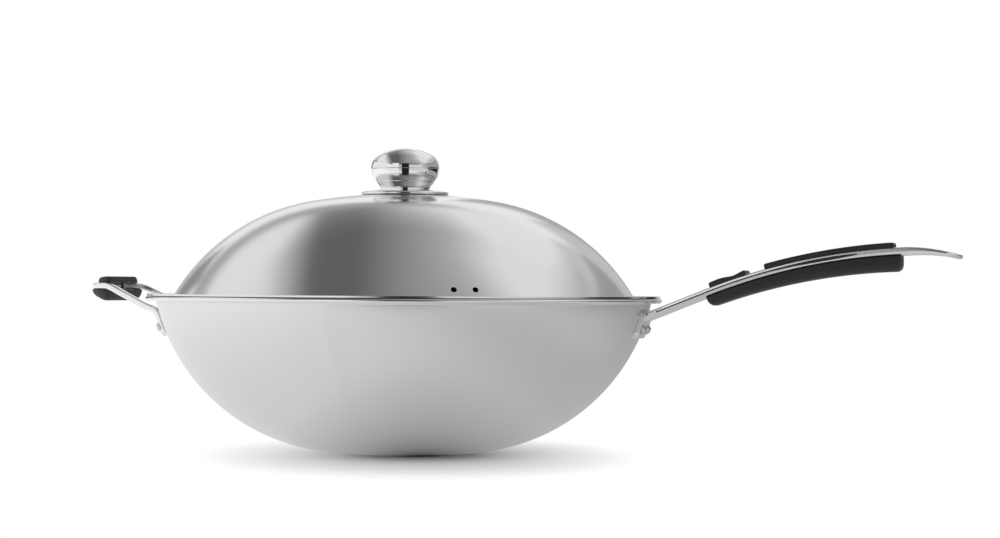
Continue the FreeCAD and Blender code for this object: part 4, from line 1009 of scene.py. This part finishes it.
# ---------------------------------------------------------------------------------------------
# Helper handle
# ---------------------------------------------------------------------------------------------

def helper_level_at(helper, reach):
    """The level of the loop's middle line at a reach, with a round bend where the legs begin."""
    run = helper.bend - reach
    soft = 0.005
    if run <= -soft:
        return helper.level
    if run < soft:
        return helper.level - math.tan(helper.slope) * (run + soft) ** 2 / (4 * soft)
    return helper.level - math.tan(helper.slope) * run


def wall_point(bowl, height, out):
    """The reach and level of the wall's outside at a height, and out metres off it."""
    arc = wall_shape(bowl)[0]
    lean = math.asin((arc - height) / arc)
    return Vector((bowl.foot + (arc + out) * math.cos(lean), arc - (arc + out) * math.sin(lean)))


def helper_leg(helper, bowl):
    """Places down one leg of the helper handle and its tab: (point, width, thickness)."""
    leg_steps, bend_steps, tab_steps = 16, 10, 10
    end_level, off_wall = 0.0985, 0.0075  # where the leg ends and the bend on to the wall begins
    plan_end = 0.1509                     # where the legs are as far apart as the tabs
    tab_height = 0.0125
    bend_start, bend_end = 0.55, 0.45     # how far the bend keeps the leg's and the tab's ways
    round_from, round_run, taken = 0.72, 0.28, 0.55  # the tab's round foot, and its width lost
    half_loop = helper.arc - helper.width / 2
    centre = helper.reach - helper.arc
    leg_end = wall_point(bowl, end_level, helper.plate / 2).x + off_wall
    places = []
    for reach in evenly(centre, leg_end, leg_steps):
        side = half_loop + (helper.spread / 2 - half_loop) * (centre - reach) / (centre - plan_end)
        level = helper_level_at(helper, reach)
        places.append((Vector((-reach, side, level)), helper.width, helper.bar))
    start = places[-1][0]
    side = start.y

    def on_wall(height):
        spot = wall_point(bowl, height, helper.plate / 2 + HAIR)
        return Vector((-math.sqrt(spot.x ** 2 - side ** 2), side, spot.y))

    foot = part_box("helper_handle_frame")[0].z
    tab_top = foot + tab_height
    end = on_wall(tab_top)
    fall = Vector((math.cos(helper.slope), 0.0, -math.sin(helper.slope)))
    down = (on_wall(tab_top - 0.002) - on_wall(tab_top)).normalized()
    gap = (end - start).length
    first = start + fall * gap * bend_start
    second = end - down * gap * bend_end
    for t in evenly(0.0, 1.0, bend_steps)[1:]:
        point = (start * (1 - t) ** 3 + first * 3 * t * (1 - t) ** 2
                 + second * 3 * t * t * (1 - t) + end * t ** 3)
        blend = t * t * (3 - 2 * t)
        places.append((point, helper.width + (helper.tab - helper.width) * blend,
                       helper.bar + (helper.plate - helper.bar) * blend))
    for i in range(1, tab_steps + 1):
        height = tab_top + (foot - tab_top) * i / tab_steps
        narrowing = max(0.0, (i / tab_steps - round_from) / round_run) ** 2.2
        places.append((on_wall(height), helper.tab * (1 - taken * narrowing), helper.plate))
    return places


def helper_centre_line(helper, bowl):
    """Places along the helper handle: (point, width, thickness), from one tab to the other."""
    loop_steps = 48
    half_loop = helper.arc - helper.width / 2
    centre = helper.reach - helper.arc
    leg = helper_leg(helper, bowl)
    other_leg = [(Vector((p.x, -p.y, p.z)), width, thickness)
                 for p, width, thickness in reversed(leg)]
    loop = []
    for swing in evenly(0.0, math.pi, loop_steps)[1:-1]:
        reach = centre + half_loop * math.sin(swing)
        place = Vector((-reach, -half_loop * math.cos(swing), helper_level_at(helper, reach)))
        loop.append((place, helper.width, helper.bar))
    return other_leg + loop + leg


def helper_rings(helper, bowl):
    """The rings of the bent helper bar."""
    rounding = 0.0009
    steep = 0.35  # a bar flatter in plan than this falls down the wall
    stations = helper_centre_line(helper, bowl)
    last_across = Vector((0.0, 0.0, 0.0))
    rings = []
    for i, (point, width, thickness) in enumerate(stations):
        before = stations[max(i - 1, 0)][0]
        after = stations[min(i + 1, len(stations) - 1)][0]
        along = (after - before).normalized()
        flat = Vector((along.y, -along.x, 0.0))
        if flat.length < steep:
            flat = Vector((0.0, 1.0 if point.y < 0 else -1.0, 0.0))
        across = flat.normalized()
        if across.dot(last_across) < 0:
            across = -across
        last_across = across
        up = along.cross(across).normalized()
        rings.append([point + across * ((u - 0.5) * width) + up * v
                      for u, v in bar_section(width, thickness / 2, rounding)])
    return rings


def pad_outline(helper, overhang, span, corner):
    """The plan of a helper pad: the loop's end, closed by a straight side with round corners."""
    loop_steps, corner_steps = 56, 6
    radius = helper.arc + overhang
    centre = helper.reach - helper.arc
    inner = helper.reach - span
    half = math.sqrt(radius ** 2 - (inner - centre) ** 2)
    start = math.acos((inner + corner - centre) / radius)
    points = [Vector((-(centre + radius * math.cos(swing)), radius * math.sin(swing)))
              for swing in evenly(-start, start, loop_steps)]
    tip = points[-1]
    turn_point = Vector((-inner - 0.0002, half - corner * 0.15))
    flat_end = Vector((-inner, half - corner * 1.1))
    rounding = [tip * (1 - t) ** 2 + turn_point * 2 * t * (1 - t) + flat_end * t * t
                for t in evenly(0.0, 1.0, corner_steps)[1:-1]]
    near_half = rounding + [flat_end]
    return points + near_half + [Vector((p.x, -p.y)) for p in reversed(near_half)]


def pad_block(outline, layers, lift):
    """A pad from layers of (inset of the outline, level). lift gives more height by the reach."""
    middle = sum(outline, Vector((0.0, 0.0))) / len(outline)
    rings = []
    for inset, up in layers:
        ring = []
        for point in outline:
            away = point - middle
            away = away * max(1.0 - inset / max(away.length, 1e-6), 0.02)
            reach = middle.x + away.x
            ring.append(Vector((reach, middle.y + away.y, up + lift(reach, up))))
        rings.append(ring)
    return lofted(rings)


def round_layers(face, edge, inward, upright, steps=8):
    """The layers of a rounded edge, inward and upright metres wide, between a side and the face."""
    way = 1.0 if face > edge else -1.0
    return [(inward * (1 - math.cos(angle)), face - way * upright * (1 - math.sin(angle)))
            for angle in evenly(0.0, QUARTER, steps)]


# ---------------------------------------------------------------------------------------------
# Operators
# ---------------------------------------------------------------------------------------------

class WOK_OT_bowl(bpy.types.Operator):
    """Spins the bowl"""
    bl_idname = "wok.bowl"
    bl_label = "Bowl"

    def execute(self, context):
        scene = context.scene
        finish = made_once(satin_steel, scene.wok_finish)
        work = turned(bowl_profile(scene.wok_bowl), scene.wok_stage.turns)
        make_piece("spun_bowl", work, "wok", finish, ("wok_bowl",))
        return {"FINISHED"}


class WOK_OT_lid(bpy.types.Operator):
    """Presses the lid and drills its vents"""
    bl_idname = "wok.lid"
    bl_label = "Lid"

    def execute(self, context):
        scene = context.scene
        finish = made_once(polished_steel, scene.wok_finish)
        work = turned(lid_profile(scene.wok_lid, scene.wok_bowl), scene.wok_stage.turns)
        thing = make_piece("pressed_lid", work, "lid", finish, ("lid_dome",))
        cut_vents(thing, scene.wok_lid, scene.wok_bowl)
        true_dome_normals(thing.data, scene.wok_lid, scene.wok_bowl)
        return {"FINISHED"}


class WOK_OT_knob(bpy.types.Operator):
    """Turns the knob and its rosette"""
    bl_idname = "wok.knob"
    bl_label = "Knob"

    def execute(self, context):
        scene = context.scene
        knob, turns = scene.wok_knob, scene.wok_stage.turns // 2
        finish = made_once(chrome_plate, scene.wok_finish)
        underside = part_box("knob_rosette")[0].z
        for name, profile, node, crease in (
            ("turned_rosette", rosette_profile(knob, underside), "knob_rosette", 20.0),
            ("turned_cup", cup_profile(knob), "knob_cup", 25.0),
            ("turned_cap", cap_profile(knob), "knob_cap", 25.0),
        ):
            make_piece(name, turned(profile, turns), "lid", finish, (node,), crease)
        return {"FINISHED"}


class WOK_OT_rails(bpy.types.Operator):
    """Bends the long handle's rails and sets their side inlays, with a dark line of painted shade
    along each ridge
    """
    bl_idname = "wok.rails"
    bl_label = "Long handle"

    def execute(self, context):
        scene = context.scene
        steel = made_once(forged_steel, scene.wok_finish)
        # This black also paints the shade line along each ridge.
        black = moulded_plastic("inlay_plastic", scene.wok_finish.black, roughness=0.45,
                                grain_scale=1800.0, grain_depth=0.00002)
        make_piece("bent_rails", lofted(rail_rings(scene.wok_handle)), "wok",
                   steel, ("long_handle_frame",), crease=40.0)
        for side, name in zip(SIDES, ("near", "far")):
            work = lofted(inlay_rings(scene.wok_handle, side))
            make_piece(f"side_inlay_{name}", work, "wok", black, ("rail_inlays",))
        return {"FINISHED"}


class WOK_OT_grips(bpy.types.Operator):
    """Moulds the thumb pad and the two grips"""
    bl_idname = "wok.grips"
    bl_label = "Grips"

    def execute(self, context):
        scene = context.scene
        handle, grips = scene.wok_handle, scene.wok_grips
        line = BarLine(handle)
        black = moulded_plastic("grip_plastic", scene.wok_finish.black, roughness=0.42,
                                grain_scale=1500.0, grain_depth=0.00004)
        half_width = handle.width / 2 + grips.overhang
        seat = handle.bar / 2 + HAIR
        deeper = grips.rear_depth - grips.front_depth
        deepest, spread = 0.66, 0.22  # middle and spread of the thumb's hollow, along the pad
        near_drop = 0.0004            # fall of the thumb pad's near end

        def thumb_face(along):
            hollow = grips.thumb_dip * math.exp(-((along - deepest) / spread) ** 2)
            return seat + grips.thumb_height - hollow - near_drop * (1 - along) ** 6

        def upper_face(along):
            return seat + grips.upper_height

        def lower_face(along):
            return -seat - grips.front_depth - deeper * along

        for name, node, start, end, near, far, edge, ends, stations in (
            ("thumb_rest", "thumb_pad", grips.thumb_start, grips.thumb_end, seat, thumb_face,
             grips.edge, 0.6, 24),
            ("upper_handgrip", "upper_grip", grips.upper_start, grips.upper_end, seat, upper_face,
             grips.edge, 0.7, 40),
            ("lower_handgrip", "lower_grip", grips.lower_start, grips.lower_end, -seat, lower_face,
             grips.lower_edge, 0.75, 40),
        ):
            work = pad_on_bar(line, start, end, near, far, half_width, edge, edge * ends, stations)
            make_piece(name, work, "wok", black, (node,), weigh=True)
        return {"FINISHED"}


class WOK_OT_helper(bpy.types.Operator):
    """Bends the helper handle"""
    bl_idname = "wok.helper"
    bl_label = "Helper handle"

    def execute(self, context):
        scene = context.scene
        steel = made_once(forged_steel, scene.wok_finish)
        work = lofted(helper_rings(scene.wok_helper, scene.wok_bowl))
        make_piece("bent_helper", work, "wok", steel, ("helper_handle_frame",),
                   crease=40.0)
        return {"FINISHED"}


class WOK_OT_helper_pads(bpy.types.Operator):
    """Moulds the helper handle's two pads"""
    bl_idname = "wok.helper_pads"
    bl_label = "Helper pads"

    def execute(self, context):
        scene = context.scene
        helper = scene.wok_helper
        black = bpy.data.materials["grip_plastic"]  # the frame's own plain finish of that slot
        over = helper.level + helper.bar / 2 + HAIR
        under = helper.level - helper.bar / 2 - HAIR
        top = over + helper.top_pad
        base = under - helper.base_pad
        middle = -helper.reach + 0.012
        hump, hump_run, sink = 0.0006, 0.006, 0.0003  # the top's hump, its run, the dip round it
        keel_run = 0.008                              # run over which the bottom rises outward

        def humped(reach, up):
            bell = math.exp(-((reach - middle - hump_run) / hump_run) ** 2)
            return (up - over) / helper.top_pad * (hump * bell - sink)

        def keeled(reach, up):
            outward = min(max((-helper.keel - reach) / keel_run, 0.0), 1.0)
            return (under - up) / helper.base_pad * helper.keel_rise * outward ** 1.5

        outline = pad_outline(helper, overhang=-0.0036, span=0.021, corner=0.004)
        edge = round_layers(top, over, inward=0.0032, upright=helper.top_pad * 0.85)
        layers = [(0.0, over), *edge, (0.009, top), (0.014, top)]
        make_piece("helper_top_pad", pad_block(outline, layers, humped), "wok",
                   black, ("helper_upper_pad",), weigh=True)
        outline = pad_outline(helper, overhang=0.0007, span=0.0225, corner=0.004)
        edge = round_layers(base, under, inward=0.0095, upright=helper.base_pad * 0.96)
        layers = [(0.0, under), *edge, (0.013, base)]
        make_piece("helper_base_pad", pad_block(outline, layers, keeled), "wok",
                   black, ("helper_lower_pad",), weigh=True)
        return {"FINISHED"}


class WOK_OT_fixings(bpy.types.Operator):
    """Finishes the bracket, rivets, screws, washers and the knob's inside"""
    bl_idname = "wok.fixings"
    bl_label = "Fixings"

    def execute(self, context):
        choices = context.scene.wok_finish
        rivet = fastener_steel("rivet_steel", tone=0.62, roughness=0.20)
        screw = fastener_steel("screw_steel", tone=0.58, roughness=0.28)
        core = moulded_plastic("core_plastic", choices.core, roughness=0.55, grain_scale=700.0,
                               grain_depth=0.00005)
        rubber = moulded_plastic("gasket_rubber", choices.rubber, roughness=0.72,
                                 grain_scale=500.0, grain_depth=0.00006)
        dress("handle_bracket", made_once(forged_steel, choices))
        for node in ("handle_rivets", "helper_rivets"):
            dress(node, rivet)
        for node in ("grip_screws", "helper_screws", "knob_screw", "knob_washer",
                     "knob_lock_washer"):
            dress(node, screw)
        dress("knob_core", core)
        dress("knob_insert", turned_brass(choices))
        dress("lid_gasket", rubber)
        return {"FINISHED"}


class WOK_OT_stage(bpy.types.Operator):
    """Sets the floor, the lights and the camera"""
    bl_idname = "wok.stage"
    bl_label = "Stage"

    def execute(self, context):
        stage = context.scene.wok_stage
        set_world(context.scene)
        set_floor(stage)
        set_cards()
        set_lamps()
        set_camera(context.scene, stage)
        return {"FINISHED"}


# ---------------------------------------------------------------------------------------------
# Stage
# ---------------------------------------------------------------------------------------------

def seen_or_mirrored(finish):
    """1 for what the camera sees, straight or by a mirror or glass, and 0 for other light."""
    path = finish.node("ShaderNodeLightPath")
    rays = ["Is Camera Ray", "Is Glossy Ray", "Is Transmission Ray"]
    straight, mirrored, through = (finish.out(path, ray) for ray in rays)
    return (straight + mirrored + through).at_most(1.0)


def mix_shaders(finish, factor, first, second):
    """Wires a mix of two shaders to the output."""
    sockets = {0: factor, 1: finish.out(first), 2: finish.out(second)}
    finish.output(finish.out(finish.node("ShaderNodeMixShader", None, sockets)))


def set_world(scene):
    """A pale studio: white behind the object, and a soft plain light from all round."""
    scene.world = bpy.data.worlds.new("studio")
    finish = Finish(scene.world)
    dim, white = [finish.node("ShaderNodeBackground", None, {"Color": WHITE, "Strength": strength})
                  for strength in (0.42, 1.0)]
    mix_shaders(finish, seen_or_mirrored(finish), dim, white)


def studio_places():
    """Matrix from (right of the camera, away from it, up) to the frame."""
    return Matrix.Rotation(bpy.context.scene.wok_stage.azimuth, 4, "Z")


def flat_sheet(name, corners, finish):
    """A flat sheet of the stage."""
    work = bmesh.new()
    work.faces.new([work.verts.new(corner) for corner in corners])
    data = bpy.data.meshes.new(name)
    work.to_mesh(data)
    work.free()
    data.materials.append(finish)
    thing = bpy.data.objects.new(name, data)
    bpy.context.scene.collection.objects.link(thing)
    return thing


def glowing(tone, strength=1.0):
    """The sockets of a shader that only glows."""
    return {"Base Color": BLACK, "Roughness": 1.0, "Specular IOR Level": 0.0,
            "Emission Color": tone, "Emission Strength": strength}


# The floor's glow as mirrors see it, in front of the foot and behind it, along X from half a metre
# left of the axis: painted light on the left, painted shade to the right.
PAINTED_FLOOR_SHADE_BEFORE = (
    (0.00, 1.15), (0.15, 1.05), (0.28, 0.98), (0.40, 0.86), (0.50, 0.76), (0.56, 0.68),
    (0.63, 0.58), (0.70, 0.56), (0.78, 0.70), (0.86, 0.66), (1.0, 0.50),
)
PAINTED_FLOOR_SHADE_BEHIND = (
    (0.00, 1.15), (0.15, 1.05), (0.28, 0.98), (0.50, 0.80), (0.62, 0.62), (0.76, 0.50), (1.0, 0.42),
)


def set_floor(stage):
    """A pale floor that keeps the shadow round the foot and is white beyond it; mirrors see painted
    shade.
    """
    wide, pool_side = 6.0, 0.01
    finish = material("floor_paper")
    x, y, _ = finish.axes()
    off = (((x - pool_side) / stage.pool_width) ** 2
           + ((y + stage.pool_shift) / stage.pool_depth) ** 2).root()
    mirrored = finish.out(finish.node("ShaderNodeLightPath"), "Is Glossy Ray")
    # 0 in the middle of the pool and 1 beyond it. Mirrors show a smaller pool.
    clear = ((off - 0.25 + mirrored * 0.17) / (0.75 - mirrored * 0.15)).clamped()
    # Mirrors see the floor glow with painted light and shade, brighter on the left and darker to the
    # right, in place of its lit tone.
    before, behind = [finish.ramp(x + 0.5, stops) for stops in (PAINTED_FLOOR_SHADE_BEFORE, PAINTED_FLOOR_SHADE_BEHIND)]
    past = y.climb(-0.05, 0.10)
    ahead = ((-0.40 - y) / 0.15).clamped()
    near = finish.blend(ahead, finish.blend(past, before, behind), WHITE)
    paper = finish.node("ShaderNodeBsdfPrincipled", None, {
        "Base Color": stage.floor, "Roughness": 0.9, "Specular IOR Level": 0.1,
    })
    glow = finish.node("ShaderNodeBsdfPrincipled", None,
                       glowing(finish.blend(mirrored, WHITE, near)))
    mix_shaders(finish, seen_or_mirrored(finish) * clear, paper, glow)
    corners = [(-wide, -wide, 0.0), (wide, -wide, 0.0), (wide, wide, 0.0), (-wide, wide, 0.0)]
    floor = flat_sheet("floor", corners, finish.owner)
    floor.matrix_world = studio_places()


def card_finish(strength):
    """An even glowing card."""
    finish = material("card_cloth")
    finish.surface(glowing(WHITE, strength))
    return finish.owner


def hang_card(name, corners, finish):
    """A card that only shows in polished surfaces."""
    thing = flat_sheet(name, corners, finish)
    thing.visible_camera = False
    thing.visible_diffuse = False
    thing.visible_shadow = False
    thing.visible_transmission = False
    thing.visible_volume_scatter = False
    thing.matrix_world = studio_places()
    return thing


def hang_row(name, first, last, edge, far_edge, finish):
    """A row of flat cards round the axis, between two turns and two edges of (reach, level)."""
    count = max(1, round(abs(last - first) / 15.0))
    turns = [math.radians(degrees) for degrees in evenly(first, last, count)]
    rays = [(math.sin(angle), -math.cos(angle)) for angle in turns]
    for i, (here, there) in enumerate(zip(rays, rays[1:])):
        corners = [(x * reach, y * reach, level) for (x, y), (reach, level) in (
            (here, edge), (there, edge), (there, far_edge), (here, far_edge))]
        hang_card(f"{name}_{i}", corners, finish)


# The canopy's cloths from left to right, 0 to 1 across the dome: a bright one, a dark flag, a fade
# into a second bright one, and a dim one.
CANOPY_TONES = (
    (0.2, 0.92), (0.3, 0.14), (0.4, 0.14), (0.6, 0.5), (0.7, 0.92), (0.8, 0.92), (0.9, 0.44),
)


def canopy_finish(tall):
    """The overhead canopy: bright on the left, a dark flag, and paler to the right and the rear."""
    least, more = 0.042, 0.138  # reach on the dome of what hangs overhead, and what a slant adds
    finish = material("canopy_cloth")
    x, y, _ = finish.axes()
    slope = y / tall
    away = y - (x * x + y * y + tall * tall).root()
    across = (x * x + away * away).root()
    lean = across / tall
    reach = least + more * (lean / (lean * lean + 1.0).root())
    spot = reach * x / across
    place = spot * 3.0 + spot.at_least(0.0) * slope.at_most(0.0) * 1.8 + 0.5
    rear = slope.climb(0.35, 0.87)
    right = place.climb(0.77, 0.10)
    tone = finish.ramp(place, CANOPY_TONES)
    tone = (tone * (1.0 + rear * (1.0 - right) * 0.9)).at_most(0.95)
    behind = slope.climb(1.15, 0.35)  # where one even tone takes over
    finish.surface(glowing(tone * (1.0 - behind) + behind * 0.42))
    return finish.owner


# The cards' tones, by how strongly they glow.
BLACK_CARD, GREY_CARD, DIM_CARD, PALE_CARD, BRIGHT_CARD = 0.02, 0.6, 0.42, 0.78, 1.0

# Rows of cards: name, first and last turn in degrees from the camera's side, positive to its
# right, two edges of (reach, level), and glow. A foot lies flat, just above the floor.
CARDS = (
    ("left_panel", -46.0, -22.0, (2.6, 0.0), (2.6, 1.7), BRIGHT_CARD),
    ("left_panel_foot", -46.0, -22.0, (0.85, 0.002), (2.6, 0.002), BRIGHT_CARD),
    ("inner_panel", -22.0, -12.0, (2.6, 0.0), (2.6, 1.0), GREY_CARD),
    ("inner_panel_foot", -22.0, -12.0, (0.85, 0.002), (2.6, 0.002), GREY_CARD),
    ("slit", -12.0, 13.0, (2.5, 0.0), (2.5, 1.6), BLACK_CARD),
    ("slit_foot", -12.0, 13.0, (0.50, 0.002), (2.5, 0.002), BLACK_CARD),
    ("right_panel", 13.0, 58.0, (2.6, 0.0), (2.6, 1.0), PALE_CARD),
    ("right_panel_foot", 13.0, 58.0, (0.85, 0.002), (2.6, 0.002), PALE_CARD),
    ("right_flag", 83.0, 150.0, (2.6, 0.0), (2.6, 0.35), BLACK_CARD),
    ("right_panel_side_foot", 58.0, 83.0, (0.85, 0.002), (2.6, 0.002), PALE_CARD),
    ("right_panel_near", 58.0, 66.0, (2.6, 0.0), (2.6, 1.5), 0.62),
    ("right_panel_middle", 66.0, 75.0, (2.6, 0.0), (2.6, 1.5), 0.52),
    ("right_panel_far", 75.0, 83.0, (2.6, 0.0), (2.6, 1.5), 0.44),
    ("right_flag_top", 83.0, 150.0, (2.6, 0.35), (2.6, 1.45), 0.38),
    ("right_flag_head", 83.0, 150.0, (2.6, 1.45), (2.6, 2.0), 0.66),
    ("left_flag", -158.0, -143.0, (3.0, 0.25), (3.0, 1.25), 0.3),
    ("rear_right_inner", 165.0, 177.0, (3.6, 0.0), (3.6, 1.45), DIM_CARD),
    ("rear_right_middle", 152.0, 165.0, (3.6, 0.0), (3.6, 2.0), GREY_CARD),
    ("back_card", 178.0, 202.0, (3.6, 0.0), (3.6, 1.0), GREY_CARD),
)


def set_cards():
    """The canopy and the cards that shape the reflections."""
    tall, over = 1.5, 0.15  # the canopy above the dome's rim, and the rim above the floor
    front = [(-3.2, -5.0), (3.2, -5.0)]
    rear = [(3.2, 1.4), (1.2, 1.6), (0.37, 2.04), (0.0, 2.9), (-1.67, 3.1), (-3.2, 3.3)]
    corners = [(x, y, 0.0) for x, y in front + rear]
    canopy = hang_card("canopy", corners, canopy_finish(tall))
    canopy.matrix_world = studio_places() @ Matrix.Translation((0.0, 0.0, tall + over))
    cloths = {glow: card_finish(glow) for glow in dict.fromkeys(row[-1] for row in CARDS)}
    for *row, glow in CARDS:
        hang_row(*row, cloths[glow])


def set_lamps():
    """Two broad soft lamps."""
    studio = studio_places()
    for name, spot, size, power in (
        ("key", Vector((-0.6, 1.2, 2.3)), 1.6, 26.0),
        ("fill", Vector((1.2, -1.6, 1.9)), 1.8, 8.0),
    ):
        data = bpy.data.lights.new(name, "AREA")
        data.shape = "DISK"
        data.size = size
        data.energy = power
        lamp = bpy.data.objects.new(name, data)
        bpy.context.scene.collection.objects.link(lamp)
        spot = studio @ spot
        facing = (Vector((0.0, 0.0, 0.08)) - spot).to_track_quat("-Z", "Y").to_matrix()
        lamp.matrix_world = Matrix.Translation(spot) @ facing.to_4x4()
        lamp.visible_glossy = False


def set_camera(scene, stage):
    """The camera, level with the rim."""
    studio = studio_places()
    spot = studio @ Vector((0.0, -stage.distance, stage.camera_height))
    view = studio @ Vector((math.tan(stage.yaw), 1.0, math.tan(stage.pitch)))
    data = bpy.data.cameras.new("camera")
    data.sensor_width = 36.0
    data.lens = stage.focal
    data.clip_start = 0.05
    data.clip_end = 30.0
    camera = bpy.data.objects.new("camera", data)
    scene.collection.objects.link(camera)
    turned_to = view.to_track_quat("-Z", "Y").to_matrix().to_4x4()
    camera.matrix_world = Matrix.Translation(spot) @ turned_to @ Matrix.Rotation(stage.roll, 4, "Z")
    scene.camera = camera
    scene.view_settings.view_transform = "Standard"


# ---------------------------------------------------------------------------------------------
# Panel and registration
# ---------------------------------------------------------------------------------------------

GROUPS = (
    ("wok_bowl", BowlSizes),
    ("wok_lid", LidSizes),
    ("wok_knob", KnobSizes),
    ("wok_handle", HandleSizes),
    ("wok_grips", GripSizes),
    ("wok_helper", HelperSizes),
    ("wok_finish", FinishChoices),
    ("wok_stage", StageChoices),
)
OPERATORS = (WOK_OT_bowl, WOK_OT_lid, WOK_OT_knob, WOK_OT_rails, WOK_OT_grips, WOK_OT_helper,
             WOK_OT_helper_pads, WOK_OT_fixings, WOK_OT_stage)


class WOK_PT_pieces(bpy.types.Panel):
    """Lists the pieces of the wok and their sizes"""
    bl_idname = "WOK_PT_pieces"
    bl_label = "Covered wok"
    bl_space_type = "VIEW_3D"
    bl_region_type = "UI"
    bl_category = "Wok"

    def draw(self, context):
        layout = self.layout
        for operator in OPERATORS:
            layout.operator(operator.bl_idname)
        for name, group in GROUPS:
            box = layout.box()
            box.label(text=group.__doc__)
            for key in group.__annotations__:
                box.prop(getattr(context.scene, name), key)


def register():
    """Registers the property groups, operators and panel."""
    for name, group in GROUPS:
        bpy.utils.register_class(group)
        setattr(bpy.types.Scene, name, PointerProperty(type=group))
    for operator in OPERATORS:
        bpy.utils.register_class(operator)
    bpy.utils.register_class(WOK_PT_pieces)


def unregister():
    """Takes back what register did."""
    bpy.utils.unregister_class(WOK_PT_pieces)
    for operator in reversed(OPERATORS):
        bpy.utils.unregister_class(operator)
    for name, group in reversed(GROUPS):
        delattr(bpy.types.Scene, name)
        bpy.utils.unregister_class(group)


def main():
    """Makes every piece and the stage."""
    register()
    for operator in OPERATORS:
        family, name = operator.bl_idname.split(".")
        getattr(getattr(bpy.ops, family), name)()


if __name__ == "__main__":
    main()
